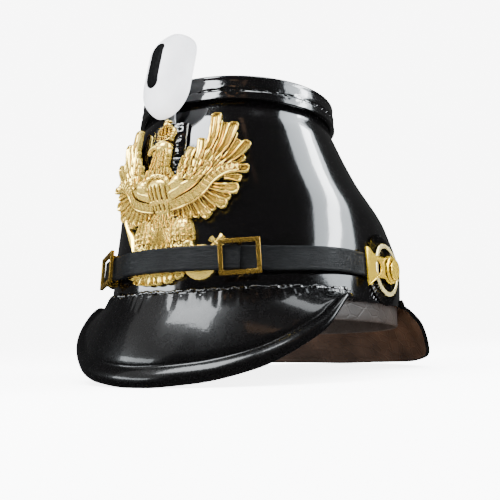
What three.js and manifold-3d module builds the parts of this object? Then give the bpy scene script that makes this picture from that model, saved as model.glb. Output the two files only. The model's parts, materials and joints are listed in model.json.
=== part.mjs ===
// A black lacquered leather shako with a front peak, a neck guard, a chin strap
// and a pierced brass eagle. Millimetres, +Z up, wearer's front towards -Y and
// wearer's left towards +X. The hat stands on the edges of its peak and guard.

import * as THREE from 'three';
import { mergeVertices } from 'three/addons/utils/BufferGeometryUtils.js';
import Module from 'manifold-3d';

const wasm = await Module();
wasm.setup();

// Driving dimensions

// Clearance between neighbouring pieces
const gap = 0.3;

// Edges of joined solids that are shorter than this are merged away
const joinTolerance = 0.2;

// Leather shell: the rim is at height 0, the reach counts from the head's axis
const rimWidth = 190;
const rimFrontReach = 104;
const rimBackReach = 112.8;
const crownWidth = 123.5;
const crownFrontReach = 86;
const crownBackReach = 40;
const shellHeight = 134.5;
const shellWall = 2;

// Crown cap: a flat disc with its edge turned down over the shell
const capDisc = 3;
const capBandWall = 3.6;
const capBandHeight = 16.2;
const capEdgeRound = 2;

// Sweatband inside the rim
const sweatbandWall = 2;
const sweatbandDrop = 11.5;
const sweatbandHeight = 42;

// Front peak
const peakThickness = 2.4;
const peakReach = 19.6;
const peakDrop = 50.7;
const peakHalfTurn = 67.5;
const peakSeamHeight = 6;
const peakFlange = 5;
const peakRollWidth = 9;
const peakRollHeight = 1.5;

// Neck guard
const guardThickness = 2.2;
const guardReach = 25;
const guardDrop = 35;
const guardHalfTurn = 70;
const guardSeamHeight = 5.5;
const guardFlange = 5;
const guardRollWidth = 4;
const guardRollHeight = 0.3;

// Chin strap, in two overlapping halves
const strapWidth = 14;
const strapThickness = 2;
const strapHeight = 21;
const strapLift = 1.9;
const strapStandoff = 5.5;
const strapEndStandoff = 1.2;
const strapFromBoss = 23.2;
const strapRightDrop = 3.3;

// Slide buckles
const buckleWidth = 23.5;
const buckleBar = 2.4;
const buckleDepth = 2.2;
const buckleTurn = 29;
const buckleTilt = 5.5;
const buckleSideClearance = 0.8;
const buckleBackBarWidth = 3;
const buckleBackBarDepth = 1.4;

// Side cockades, with ring, lug and boss; the turn counts from the front
const cockadeTurn = 88;
const cockadeHeight = 21.5;
const cockadeRadius = 22.5;
const cockadeToothDepth = 1.8;
const cockadeTeeth = 22;
const cockadeThickness = 2;
const ringRadius = 17;
const ringWidth = 3.5;
const ringThickness = 1;
const lugThickness = 1.2;
const lugBarHeight = 23;
const lugBarWidth = 3;
const lugHubRadius = 9;
const bossRadius = 8.5;
const bossHeight = 3.1;
const bossStemRadius = 2.4;

// Brass eagle plate
const eagleFootHeight = 7.5;
const eagleHeight = 103;
const eagleHalfSpan = 50;
const eaglePlate = 1.4;
const eagleStandoff = 0.45;
const eagleWingSpring = 4;
const eagleBreastDepth = 5.2;
const eagleTop = eagleFootHeight + eagleHeight;

// Leather pocket on the front of the shell; its mouth lies just under the eagle's top
const pocketWidth = 25;
const pocketLength = 37;
const pocketMouthDrop = 4.5;
const pocketRampLength = 20;
const pocketTop = eagleTop - pocketMouthDrop;
const pocketBottom = pocketTop - pocketLength;
const pocketDepth = 5.8;
const pocketWall = 1.8;

// Oval field badge standing in the pocket
const badgeLength = 57.8;
const badgeWidth = 33.8;
const badgeRim = 2.4;
const badgeDome = 14.5;
const badgeRise = 27.3;
const badgeHeight = eagleTop + badgeRise;
const badgeStandoff = 4.8;
const badgeLean = 12.3;
const badgeTurn = -6.5;
const inlayLength = 30.4;
const inlayWidth = 6.6;
const inlayDepth = 1.7;
const inlayProud = 0.4;
const prongWidth = 8;
const prongThickness = 1.8;
const prongInPocket = 24;

// Tables of shares, chosen by hand

// Shell sections: up is a share of the shell's height, and the others say how
// far the section is from the crown's size (0) to the rim's size (1)
const shellRows = [
  { at: 0, side: 1, front: 1, back: 1 },
  { at: 0.16, side: 1, front: 0.93, back: 1.01 },
  { at: 0.39, side: 0.86, front: 0.7, back: 0.74 },
  { at: 0.62, side: 0.46, front: 0.62, back: 0.33 },
  { at: 0.79, side: 0.2, front: 0.45, back: 0.1 },
  { at: 0.9, side: 0.04, front: 0.14, back: 0.015 },
  { at: 1, side: 0, front: 0, back: 0 },
];

// Peak edge from the middle (0) to its end (1): shares of reach, drop and seam
const peakRows = [
  { at: 0, reach: 1, drop: 1, seam: 0.5 },
  { at: 0.25, reach: 0.94, drop: 0.95, seam: 0.55 },
  { at: 0.5, reach: 0.97, drop: 0.79, seam: 0.75 },
  { at: 0.75, reach: 1.13, drop: 0.4, seam: 1 },
  { at: 0.92, reach: 0.75, drop: -0.03, seam: 1 },
  { at: 1, reach: 0.15, drop: -0.04, seam: 1 },
];

// Guard edge, in the same way
const guardRows = [
  { at: 0, reach: 1, drop: 1, seam: 0.8 },
  { at: 0.25, reach: 0.93, drop: 0.985, seam: 0.8 },
  { at: 0.5, reach: 0.78, drop: 0.985, seam: 0.85 },
  { at: 0.75, reach: 0.84, drop: 0.89, seam: 0.95 },
  { at: 0.92, reach: 0.58, drop: 0.34, seam: 1 },
  { at: 1, reach: 0.12, drop: -0.06, seam: 1 },
];

// Strap from the front (0) to its end (1): shares of the lift and of the way
// from the end's standoff (0) to the front's (1)
const strapRows = [
  { at: 0, lift: 0, out: 1 },
  { at: 0.5, lift: 0.1, out: 1.05 },
  { at: 0.72, lift: 0.7, out: 1.1 },
  { at: 0.86, lift: 1, out: 0.5 },
  { at: 0.95, lift: 0.82, out: 0.04 },
  { at: 1, lift: 0.55, out: 0 },
];

// Badge dome: size is a share of the outline, rise a share of the dome
const domeRows = [
  { size: 0.97, rise: 0.2 },
  { size: 0.9, rise: 0.45 },
  { size: 0.78, rise: 0.68 },
  { size: 0.6, rise: 0.86 },
  { size: 0.35, rise: 0.97 },
  { size: 0.12, rise: 1 },
];

// Boss profile: shares of its radius and height
const bossRows = [
  { out: 1, up: 0 },
  { out: 1, up: 0.14 },
  { out: 0.86, up: 0.28 },
  { out: 0.62, up: 0.38 },
  { out: 0.58, up: 0.5 },
  { out: 0.74, up: 0.6 },
  { out: 0.75, up: 0.8 },
  { out: 0.58, up: 0.93 },
  { out: 0.3, up: 0.98 },
];

// Eagle feathers of one wing: root and tip as shares of the half span (across)
// and of the height (up), width and bend as shares of the half span
const featherRows = [
  { rootAcross: 0.36, rootUp: 0.66, tipAcross: 0.55, tipUp: 0.985, width: 0.115, bend: -0.1 },
  { rootAcross: 0.4, rootUp: 0.63, tipAcross: 0.77, tipUp: 0.92, width: 0.11, bend: -0.09 },
  { rootAcross: 0.48, rootUp: 0.6, tipAcross: 0.94, tipUp: 0.8, width: 0.1, bend: -0.06 },
  { rootAcross: 0.52, rootUp: 0.59, tipAcross: 0.93, tipUp: 0.71, width: 0.085, bend: -0.04 },
  { rootAcross: 0.54, rootUp: 0.58, tipAcross: 1, tipUp: 0.65, width: 0.1, bend: -0.02 },
  { rootAcross: 0.5, rootUp: 0.56, tipAcross: 0.9, tipUp: 0.535, width: 0.1, bend: 0.03 },
  { rootAcross: 0.42, rootUp: 0.52, tipAcross: 0.76, tipUp: 0.44, width: 0.1, bend: 0.03 },
  { rootAcross: 0.3, rootUp: 0.49, tipAcross: 0.56, tipUp: 0.38, width: 0.1, bend: 0.02 },
  { rootAcross: 0.19, rootUp: 0.47, tipAcross: 0.34, tipUp: 0.375, width: 0.09, bend: 0.01 },
  { rootAcross: 0.3, rootUp: 0.63, tipAcross: 0.46, tipUp: 0.84, width: 0.09, bend: -0.06 },
  { rootAcross: 0.26, rootUp: 0.6, tipAcross: 0.35, tipUp: 0.77, width: 0.09, bend: -0.05 },
];

// Smooth values between the rows of a table: cubic, level at the first row and
// with no overshoot
function between(rows, at, column) {
  const last = rows.length - 1;
  const x = THREE.MathUtils.clamp(at, rows[0].at, rows[last].at);
  let i = 0;
  while (i < last - 1 && x > rows[i + 1].at) i += 1;
  const step = (k) => rows[k + 1].at - rows[k].at;
  const slope = (k) => (rows[k + 1][column] - rows[k][column]) / step(k);
  const bend = (k) => {
    if (k === 0) return 0;
    if (k === last) return slope(last - 1);
    const before = slope(k - 1);
    const after = slope(k);
    if (before * after <= 0) return 0;
    return 2 / (1 / before + 1 / after);
  };
  const h = step(i);
  const t = (x - rows[i].at) / h;
  const t2 = t * t;
  const t3 = t2 * t;
  return (2 * t3 - 3 * t2 + 1) * rows[i][column] + (t3 - 2 * t2 + t) * h * bend(i)
    + (3 * t2 - 2 * t3) * rows[i + 1][column] + (t3 - t2) * h * bend(i + 1);
}

function degrees(angle) {
  return THREE.MathUtils.degToRad(angle);
}

function range(count, from, to) {
  return Array.from({ length: count }, (_, i) => from + ((to - from) * i) / (count - 1));
}

// The oval of the shell at one height: half width, half length and middle
function ovalAt(up) {
  const at = up / shellHeight;
  const mix = (crown, rim, column) => crown + (rim - crown) * between(shellRows, at, column);
  const front = mix(crownFrontReach, rimFrontReach, 'front');
  const back = mix(crownBackReach, rimBackReach, 'back');
  return {
    side: mix(crownWidth / 2, rimWidth / 2, 'side'),
    half: (front + back) / 2,
    middle: (back - front) / 2,
  };
}

// A point standing proud of the shell's outer face, turned from the front
// towards the wearer's left
function wallPoint(turn, up, proud) {
  const { side, half, middle } = ovalAt(up);
  const face = new THREE.Vector2(Math.sin(turn) / side, -Math.cos(turn) / half).normalize();
  return new THREE.Vector3(
    side * Math.sin(turn) + proud * face.x,
    middle - half * Math.cos(turn) + proud * face.y,
    up,
  );
}

// The same for flat work bent round the shell: across runs along the wall
function bentPoint(centreTurn, across, up, proud) {
  const { side, half } = ovalAt(up);
  const speed = Math.hypot(side * Math.cos(centreTurn), half * Math.sin(centreTurn));
  return wallPoint(centreTurn + across / speed, up, proud);
}

// Turns a closed body's faces so that they all look out
function facingOut(geometry) {
  const place = geometry.attributes.position;
  const index = Array.from(geometry.index.array);
  const point = (i) => new THREE.Vector3().fromBufferAttribute(place, index[i]);
  let volume = 0;
  for (let i = 0; i < index.length; i += 3) {
    volume += point(i).dot(point(i + 1).cross(point(i + 2)));
  }
  if (volume < 0) geometry.setIndex(index.reverse());
  return geometry;
}

// A closed body from vertices and triangles
function closedGeometry(points, triangles) {
  const geometry = new THREE.BufferGeometry();
  const flat = points.flatMap((p) => [p.x, p.y, p.z]);
  geometry.setAttribute('position', new THREE.Float32BufferAttribute(flat, 3));
  geometry.setIndex(triangles.flat());
  return facingOut(geometry);
}

// Triangles that close one end of a loft
function endTriangles(loop) {
  const normal = new THREE.Vector3();
  loop.forEach((p, i) => {
    const q = loop[(i + 1) % loop.length];
    normal.x += (p.y - q.y) * (p.z + q.z);
    normal.y += (p.z - q.z) * (p.x + q.x);
    normal.z += (p.x - q.x) * (p.y + q.y);
  });
  const size = [Math.abs(normal.x), Math.abs(normal.y), Math.abs(normal.z)];
  const drop = size.indexOf(Math.max(...size));
  const flat = loop.map((p) => {
    const kept = [p.x, p.y, p.z].filter((_, axis) => axis !== drop);
    return new THREE.Vector2(kept[0], kept[1]);
  });
  const turned = THREE.ShapeUtils.isClockWise(flat);
  const order = loop.map((_, i) => (turned ? loop.length - 1 - i : i));
  const found = THREE.ShapeUtils.triangulateShape(order.map((i) => flat[i]), []);
  return found.map((face) => {
    const [a, b, c] = face.map((i) => order[i]);
    return turned ? [a, c, b] : [a, b, c];
  });
}

// Joins loops of equal length into one body, either round to the first loop
// again or closed at both ends
function loft(loops, round) {
  const size = loops[0].length;
  const points = loops.flat();
  const triangles = [];
  const bands = round ? loops.length : loops.length - 1;
  for (let i = 0; i < bands; i += 1) {
    const next = (i + 1) % loops.length;
    for (let j = 0; j < size; j += 1) {
      const k = (j + 1) % size;
      const [a, b] = [i * size + j, i * size + k];
      const [c, d] = [next * size + k, next * size + j];
      triangles.push([a, b, c], [a, c, d]);
    }
  }
  if (!round) {
    const base = (loops.length - 1) * size;
    endTriangles(loops[0]).forEach(([a, b, c]) => triangles.push([a, c, b]));
    endTriangles(loops[loops.length - 1]).forEach(([a, b, c]) => {
      triangles.push([a + base, b + base, c + base]);
    });
  }
  return closedGeometry(points, triangles);
}

// Between three.js geometry and solids that can be joined and cut
function solid(geometry) {
  const bare = geometry.clone();
  bare.deleteAttribute('normal');
  bare.deleteAttribute('uv');
  const merged = mergeVertices(bare, 1e-4);
  return new wasm.Manifold(new wasm.Mesh({
    numProp: 3,
    vertProperties: new Float32Array(merged.attributes.position.array),
    triVerts: new Uint32Array(merged.index.array),
  }));
}

function fromSolid(body) {
  const mesh = body.getMesh();
  const geometry = new THREE.BufferGeometry();
  geometry.setAttribute('position', new THREE.Float32BufferAttribute(mesh.vertProperties, 3));
  geometry.setIndex(Array.from(mesh.triVerts));
  return geometry;
}

// The solids made one; any small void enclosed between them is filled
function joined(geometries) {
  const whole = geometries.map(solid).reduce((sum, next) => sum.add(next));
  const parts = whole.simplify(joinTolerance).decompose();
  return fromSolid(parts.reduce((most, next) => (next.volume() > most.volume() ? next : most)));
}

function mapPoints(geometry, change) {
  const place = geometry.attributes.position;
  for (let i = 0; i < place.count; i += 1) {
    const p = change(new THREE.Vector3().fromBufferAttribute(place, i));
    place.setXYZ(i, p.x, p.y, p.z);
  }
  return geometry;
}

// Finishes
const leather = { color: 0x0c0c0d, roughness: 0.18, metalness: 0 };
const strapLeather = { color: 0x232526, roughness: 0.55, metalness: 0 };
const brownLeather = { color: 0x4a3a30, roughness: 0.6, metalness: 0 };
const brass = { color: 0xd8b04c, roughness: 0.25, metalness: 1 };
const paleMetal = { color: 0xe8e0c4, roughness: 0.3, metalness: 1 };
const whiteFinish = { color: 0xeeeeee, roughness: 0.35, metalness: 0 };
const blackFinish = { color: 0x0a0a0a, roughness: 0.5, metalness: 0 };
const steel = { color: 0x8a8a8a, roughness: 0.5, metalness: 1 };

const shako = new THREE.Group();

function addPiece(name, geometry, finish) {
  const flat = geometry.index ? geometry.toNonIndexed() : geometry;
  flat.deleteAttribute('normal');
  flat.computeVertexNormals();
  const piece = new THREE.Mesh(flat, new THREE.MeshStandardMaterial(finish));
  piece.name = name;
  shako.add(piece);
}

// Rings round the whole shell, one loop for each height and standoff
const turnsRound = 44;

function roundLoop(up, proud) {
  return range(turnsRound + 1, 0, 2 * Math.PI).slice(0, -1)
    .map((turn) => wallPoint(turn, up, proud));
}

// Leather shell. Its heights are shared by what lies against it, so that their
// facets run side by side
const capTop = shellHeight + gap + capDisc;
const capBottom = capTop - capBandHeight;
const sweatbandTop = sweatbandHeight - sweatbandDrop;
const shellHeights = [0, 0.14, 0.34, 0.45, 0.57, 0.69, 0.8, 1]
  .map((share) => share * shellHeight)
  .concat(capBottom, sweatbandTop)
  .sort((a, b) => a - b);

function makeBody() {
  const outer = shellHeights.map((up) => roundLoop(up, 0));
  const inner = shellHeights.map((up) => roundLoop(up, -shellWall)).reverse();
  return loft([...outer, ...inner], true);
}

addPiece('body', makeBody(), leather);

// Crown cap
function makeCrownCap() {
  const outer = gap + capBandWall;
  const round = Math.min(capEdgeRound, capDisc, capBandWall);
  const heights = shellHeights.filter((up) => up >= capBottom);
  const inside = heights.map((up) => roundLoop(up === shellHeight ? up + gap : up, gap));
  return loft([
    roundLoop(capTop, outer - round),
    roundLoop(capTop - round, outer),
    ...heights.map((up) => roundLoop(Math.min(up, capTop - 2 * round), outer)).reverse(),
    ...inside,
  ], false);
}

addPiece('crown_cap', makeCrownCap(), leather);

// Sweatband
function makeSweatband() {
  const outer = -(shellWall + gap);
  const heights = [-sweatbandDrop, ...shellHeights.filter((up) => up <= sweatbandTop)];
  const outside = heights.map((up) => roundLoop(up, outer));
  const inside = heights.map((up) => roundLoop(up, outer - sweatbandWall)).reverse();
  return loft([...outside, ...inside], true);
}

addPiece('sweatband', makeSweatband(), brownLeather);

// Peak and neck guard: a curved sheet whose flange lies on the shell and whose
// edge is thickened to a roll
const rollSteps = [1.15, 0.85, 0.5, 0.12];
const rollShape = [-0.25, 0.75, 1, 0.4];

function brimSection(size, row) {
  const { thickness } = size;
  const seamTop = row.seam * size.seamHeight;
  const start = new THREE.Vector2(gap + thickness / 2, seamTop - size.flange + thickness / 2);
  const edge = new THREE.Vector2(
    Math.max(row.reach * size.reach, start.x + thickness * 0.4),
    Math.min(-row.drop * size.drop, start.y - thickness * 0.8),
  );
  const pull = new THREE.Vector2(
    THREE.MathUtils.lerp(start.x, edge.x, 0.62),
    THREE.MathUtils.lerp(start.y, edge.y, 0.38),
  );
  const sheet = new THREE.QuadraticBezierCurve(start, pull, edge);
  const length = sheet.getLength();
  const rollWidth = Math.min(size.rollWidth, length * 0.35);
  const rollHeight = (size.rollHeight * rollWidth) / size.rollWidth;
  const offset = (share, lift) => {
    const at = sheet.getPoint(share);
    const run = sheet.getTangent(share);
    return new THREE.Vector2(at.x - run.y * lift, at.y + run.x * lift);
  };
  const top = rollSteps.map((back, i) => (
    offset(1 - (back * rollWidth) / length, thickness / 2 + rollShape[i] * rollHeight)
  ));
  const under = [0.12, 0.85].map((back) => (
    offset(1 - (back * rollWidth) / length, -thickness / 2 - (1 - back) * rollHeight)
  ));
  return [
    new THREE.Vector2(gap, seamTop),
    new THREE.Vector2(gap + thickness * 0.6, seamTop),
    new THREE.Vector2(gap + thickness, seamTop - thickness * 0.5),
    offset(0.14, thickness / 2),
    offset(0.4, thickness / 2),
    ...top,
    ...under,
    offset(0.4, -thickness / 2),
    offset(0.14, -thickness / 2),
    new THREE.Vector2(gap, start.y),
  ];
}

function makeBrim(size, rows, centre, halfTurn) {
  const stations = range(25, -1, 1);
  return loft(stations.map((share) => {
    const row = {};
    ['reach', 'drop', 'seam'].forEach((column) => {
      row[column] = between(rows, Math.abs(share), column);
    });
    const turn = degrees(centre + share * halfTurn);
    return brimSection(size, row).map((p) => {
      const place = wallPoint(turn, 0, p.x);
      place.z = p.y;
      return place;
    });
  }), false);
}

const peakSize = {
  thickness: peakThickness,
  reach: peakReach,
  drop: peakDrop,
  seamHeight: peakSeamHeight,
  flange: peakFlange,
  rollWidth: peakRollWidth,
  rollHeight: peakRollHeight,
};

const guardSize = {
  thickness: guardThickness,
  reach: guardReach,
  drop: guardDrop,
  seamHeight: guardSeamHeight,
  flange: guardFlange,
  rollWidth: guardRollWidth,
  rollHeight: guardRollHeight,
};

addPiece('peak', makeBrim(peakSize, peakRows, 0, peakHalfTurn), leather);
addPiece('neck_guard', makeBrim(guardSize, guardRows, 180, guardHalfTurn), leather);

// Chin strap: each half runs from its cockade, round the front and under or
// over the other half, to the buckle on the far side
const sideTurn = degrees(cockadeTurn);
const strapEndTurn = sideTurn - strapFromBoss / ovalAt(cockadeHeight).half;
const buckleCentreTurn = degrees(buckleTurn);
const layerRise = strapThickness + gap;

// On the wearer's right, past the eagle, the strap lies closer to the shell
function rightDrop(turn) {
  const towards = THREE.MathUtils.smoothstep(-turn, degrees(8), buckleCentreTurn - degrees(7));
  const away = THREE.MathUtils.smoothstep(-turn, strapEndTurn - degrees(28), strapEndTurn - degrees(12));
  return strapRightDrop * towards * (1 - away);
}

function strapOut(turn) {
  const share = Math.abs(turn) / strapEndTurn;
  const out = THREE.MathUtils.lerp(strapEndStandoff, strapStandoff, between(strapRows, share, 'out'));
  return out - rightDrop(turn);
}

function strapUp(turn) {
  return strapHeight + strapLift * between(strapRows, Math.abs(turn) / strapEndTurn, 'lift');
}

function makeStrap(from, to, rise) {
  const half = strapWidth / 2;
  const soft = Math.min(0.4, strapThickness / 4);
  const corners = [
    [0, -half], [0, half], [strapThickness - soft, half],
    [strapThickness, half - soft], [strapThickness, -half + soft], [strapThickness - soft, -half],
  ];
  return loft(range(21, from, to).map((turn) => (
    corners.map(([out, up]) => wallPoint(turn, strapUp(turn) + up, strapOut(turn) + rise(turn) + out))
  )), false);
}

const innerEnd = -buckleCentreTurn - degrees(7);
const outerEnd = buckleCentreTurn;
const riseStart = innerEnd - degrees(9);

function outerRise(turn) {
  return layerRise * THREE.MathUtils.smoothstep(turn, riseStart, innerEnd - degrees(1));
}

addPiece('strap_left', makeStrap(strapEndTurn, innerEnd, () => 0), strapLeather);
addPiece('strap_right', makeStrap(-strapEndTurn, outerEnd, outerRise), strapLeather);

// Slide buckle: a flat frame on the strap, with a bar behind it
function box(width, height, depth, x, y, z) {
  const shape = new THREE.BoxGeometry(width, height, depth);
  shape.translate(x, y, z);
  return shape;
}

function makeBuckle(side) {
  const window = strapWidth + 2 * buckleSideClearance;
  const height = window + 2 * buckleBar;
  const layers = 2 * strapThickness + 3 * gap;
  const rail = (window + buckleBar) / 2;
  const upright = (buckleWidth - buckleBar) / 2;
  const deep = buckleDepth + layers + buckleBackBarDepth;
  const frame = joined([
    box(buckleWidth, buckleBar, buckleDepth, 0, rail, buckleDepth / 2),
    box(buckleWidth, buckleBar, buckleDepth, 0, -rail, buckleDepth / 2),
    box(buckleBar, height, buckleDepth, upright, 0, buckleDepth / 2),
    box(buckleBar, height, buckleDepth, -upright, 0, buckleDepth / 2),
    box(buckleBackBarWidth, buckleBar, deep, 0, rail, buckleDepth - deep / 2),
    box(buckleBackBarWidth, buckleBar, deep, 0, -rail, buckleDepth - deep / 2),
    box(buckleBackBarWidth, height, buckleBackBarDepth, 0, 0, buckleDepth - deep + buckleBackBarDepth / 2),
  ]);
  const turn = side * buckleCentreTurn;
  const proud = strapOut(turn) + 2 * strapThickness + 2 * gap;
  const above = wallPoint(turn, strapUp(turn) + strapWidth / 2, proud);
  const below = wallPoint(turn, strapUp(turn) - strapWidth / 2, proud);
  const centre = above.clone().lerp(below, 0.5);
  const level = wallPoint(turn, strapUp(turn), proud);
  const outward = wallPoint(turn, strapUp(turn), proud + 1).sub(level);
  const up = above.clone().sub(below).normalize();
  const across = new THREE.Vector3().crossVectors(up, outward).normalize();
  const out = new THREE.Vector3().crossVectors(across, up);
  const place = new THREE.Matrix4().makeBasis(across, up, out).setPosition(centre);
  const tilt = new THREE.Matrix4().makeRotationZ(degrees(buckleTilt));
  return frame.applyMatrix4(place.multiply(tilt));
}

addPiece('buckle_left', makeBuckle(1), brass);
addPiece('buckle_right', makeBuckle(-1), brass);

// Cockade parts lie one on the other, each bent to the shell
const discProud = gap;
const ringProud = discProud + cockadeThickness + gap;
const strapEndTop = strapEndStandoff + strapThickness;
const lugProud = Math.max(strapEndTop, ringProud + ringThickness) + gap;
const bossProud = lugProud + lugThickness + gap;
const stemHole = bossStemRadius + gap;

function onCockade(side, across, up, proud) {
  return bentPoint(side * sideTurn, side * across, cockadeHeight + up, proud);
}

function makeDisc(side, radii, steps, radiusAt) {
  const angles = range(steps + 1, 0, 2 * Math.PI).slice(0, -1);
  return loft(radii.map(({ radius, proud, toothed }) => angles.map((angle, i) => {
    const r = toothed ? radiusAt(i) : radius;
    return onCockade(side, r * Math.cos(angle), r * Math.sin(angle), proud);
  })), true);
}

function makeCockade(side) {
  const low = discProud;
  const high = discProud + cockadeThickness;
  const middle = (stemHole + cockadeRadius) / 2;
  return makeDisc(side, [
    { radius: stemHole, proud: high },
    { radius: middle, proud: high },
    { toothed: true, proud: high - cockadeThickness * 0.3 },
    { toothed: true, proud: low },
    { radius: middle, proud: low },
    { radius: stemHole, proud: low },
  ], cockadeTeeth * 2, (i) => cockadeRadius - (i % 2) * cockadeToothDepth);
}

function makeCockadeRing(side) {
  const high = ringProud + ringThickness;
  const inner = ringRadius - ringWidth;
  return makeDisc(side, [
    { radius: inner, proud: ringProud },
    { radius: inner + ringThickness * 0.4, proud: high },
    { radius: ringRadius - ringThickness * 0.4, proud: high },
    { radius: ringRadius, proud: ringProud },
  ], 26);
}

// Lug plate: a bar over the strap's end, two arms and a hub under the boss
function makeLug(side) {
  const inside = strapFromBoss - lugBarWidth / 6;
  const outside = inside + lugBarWidth;
  const outline = new THREE.Shape();
  outline.moveTo(-outside, -lugBarHeight / 2);
  outline.lineTo(-inside, -lugBarHeight / 2);
  outline.quadraticCurveTo(-inside + 2, -lugHubRadius * 0.55, -lugHubRadius * 0.7, -lugHubRadius * 0.7);
  outline.absarc(0, 0, lugHubRadius, degrees(-130), degrees(130), false);
  outline.quadraticCurveTo(-inside + 2, lugHubRadius * 0.55, -inside, lugBarHeight / 2);
  outline.lineTo(-outside, lugBarHeight / 2);
  outline.closePath();
  const slot = new THREE.Path();
  slot.absellipse((-inside - lugHubRadius) / 2, 0, (inside - lugHubRadius) / 4, lugHubRadius * 0.5, 0, 2 * Math.PI, true);
  const hole = new THREE.Path();
  hole.absarc(0, 0, stemHole, 0, 2 * Math.PI, true);
  outline.holes.push(slot, hole);
  const plate = new THREE.ExtrudeGeometry(outline, {
    depth: lugThickness,
    bevelEnabled: false,
    curveSegments: 6,
  });
  const bare = mergeVertices(plate.deleteAttribute('normal').deleteAttribute('uv'), 1e-4);
  return facingOut(mapPoints(bare, (p) => onCockade(side, p.x, p.y, lugProud + p.z)));
}

function makeBoss(side) {
  const steps = bossRows.map(({ out, up }) => (
    new THREE.Vector2(out * bossRadius, bossProud + up * bossHeight)
  ));
  const profile = [
    new THREE.Vector2(0, gap),
    new THREE.Vector2(bossStemRadius, gap),
    new THREE.Vector2(bossStemRadius, bossProud),
    ...steps,
    new THREE.Vector2(0, bossProud + bossHeight),
  ];
  const knob = new THREE.LatheGeometry(profile, 12);
  const foot = wallPoint(side * sideTurn, cockadeHeight, 0);
  const out = wallPoint(side * sideTurn, cockadeHeight, 1).sub(foot);
  knob.applyQuaternion(new THREE.Quaternion().setFromUnitVectors(new THREE.Vector3(0, 1, 0), out));
  return knob.translate(foot.x, foot.y, foot.z);
}

[['left', 1], ['right', -1]].forEach(([name, side]) => {
  addPiece(`cockade_${name}`, makeCockade(side), leather);
  addPiece(`cockade_ring_${name}`, makeCockadeRing(side), paleMetal);
  addPiece(`strap_lug_${name}`, makeLug(side), brass);
  addPiece(`boss_${name}`, makeBoss(side), brass);
});

// Badge pocket: an arched sleeve, open above and below
function makePocket() {
  const half = pocketWidth / 2;
  const angles = range(8, 0, Math.PI);
  const arch = (inset) => angles.map((angle) => ({
    across: (half - inset) * Math.cos(angle),
    proud: gap + (pocketDepth - inset) * Math.max(Math.sin(angle), 0) ** 0.6,
  }));
  const section = [...arch(0), ...arch(pocketWall).reverse()];
  return loft(range(6, pocketBottom, pocketTop).map((up) => (
    section.map(({ across, proud }) => bentPoint(0, across, up, proud))
  )), false);
}

addPiece('badge_pocket', makePocket(), leather);

// Field badge: an oval dome on a flat rim, leaning back over the crown
const badgePlace = new THREE.Matrix4();
const badgeCentre = wallPoint(0, badgeHeight, gap + capBandWall + badgeStandoff);
badgePlace.makeRotationZ(degrees(badgeTurn));
badgePlace.multiply(new THREE.Matrix4().makeRotationX(degrees(90 - badgeLean)));
badgePlace.setPosition(badgeCentre);

function ovalLoop(width, length, high, steps) {
  const radius = width / 2;
  const spine = Math.max((length - width) / 2, 0);
  return range(steps + 1, 0, 2 * Math.PI).slice(0, -1).map((angle) => {
    const sin = Math.sin(angle + 0.001);
    return new THREE.Vector3(
      radius * Math.cos(angle + 0.001),
      radius * sin + Math.sign(sin) * spine,
      high,
    );
  });
}

function makeDome() {
  const spine = badgeLength - badgeWidth;
  const oval = (size, high) => {
    const width = badgeWidth * size;
    return ovalLoop(width, width + spine * (0.45 + 0.55 * size), high, 24);
  };
  return loft([
    oval(1, 0),
    oval(1, badgeRim),
    ...domeRows.map(({ size, rise }) => oval(size, badgeRim + rise * badgeDome)),
  ], false);
}

function makeInlayPrism(extra, low) {
  const width = inlayWidth + 2 * extra;
  const length = inlayLength + 2 * extra;
  const high = badgeRim + badgeDome + inlayDepth;
  return solid(loft([ovalLoop(width, length, low, 16), ovalLoop(width, length, high, 16)], false));
}

const domeTop = badgeRim + badgeDome;
const badgeBody = solid(makeDome()).subtract(makeInlayPrism(gap, domeTop - inlayDepth - gap));
const inlayBody = solid(makeDome().translate(0, 0, inlayProud))
  .intersect(makeInlayPrism(0, domeTop - inlayDepth));

addPiece('field_badge', fromSolid(badgeBody).applyMatrix4(badgePlace), whiteFinish);
addPiece('badge_inlay', fromSolid(inlayBody).applyMatrix4(badgePlace), blackFinish);

// Prong: a flat strip behind the badge, down into the pocket
function makeProng() {
  const back = (along) => (
    new THREE.Vector3(0, along * badgeLength, -2 * gap - prongThickness / 2).applyMatrix4(badgePlace)
  );
  const inPocket = (up) => wallPoint(0, up, gap + (pocketDepth - pocketWall) / 2);
  const route = [
    back(-0.1),
    back(-0.38),
    inPocket(pocketTop - 2),
    inPocket(pocketTop - prongInPocket / 2),
    inPocket(pocketTop - prongInPocket),
  ].map((p) => p.setX(0));
  const half = prongWidth / 2;
  const thick = prongThickness / 2;
  return loft(route.map((p, i) => {
    const ahead = route[Math.min(i + 1, route.length - 1)];
    const behind = route[Math.max(i - 1, 0)];
    const run = ahead.clone().sub(behind).normalize();
    const out = new THREE.Vector3(0, run.z, -run.y);
    return [[-half, -thick], [half, -thick], [half, thick], [-half, thick]].map(([x, y]) => (
      p.clone().addScaledVector(out, y).setX(x)
    ));
  }), false);
}

addPiece('badge_prong', makeProng(), steel);

// Eagle plate: modelled flat, with x across, y up from its foot and z out of
// the plate, then bent round the shell and lifted over the pocket
function leaf(points, widths, high, steps = 4) {
  const route = new THREE.CatmullRomCurve3(points.map(([x, y]) => new THREE.Vector3(x, y, 0)));
  return loft(range(steps, 0, 1).map((share) => {
    const at = route.getPoint(share);
    const run = route.getTangent(share);
    const w = between(widths, share, 'half');
    const side = new THREE.Vector3(-run.y, run.x, 0);
    const rise = eaglePlate + high * Math.min(1, w / widths[1].half);
    return [[-1, 0], [-1, eaglePlate], [0, rise], [1, eaglePlate], [1, 0]].map(([s, z]) => (
      at.clone().addScaledVector(side, s * w).setZ(z)
    ));
  }), false);
}

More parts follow.
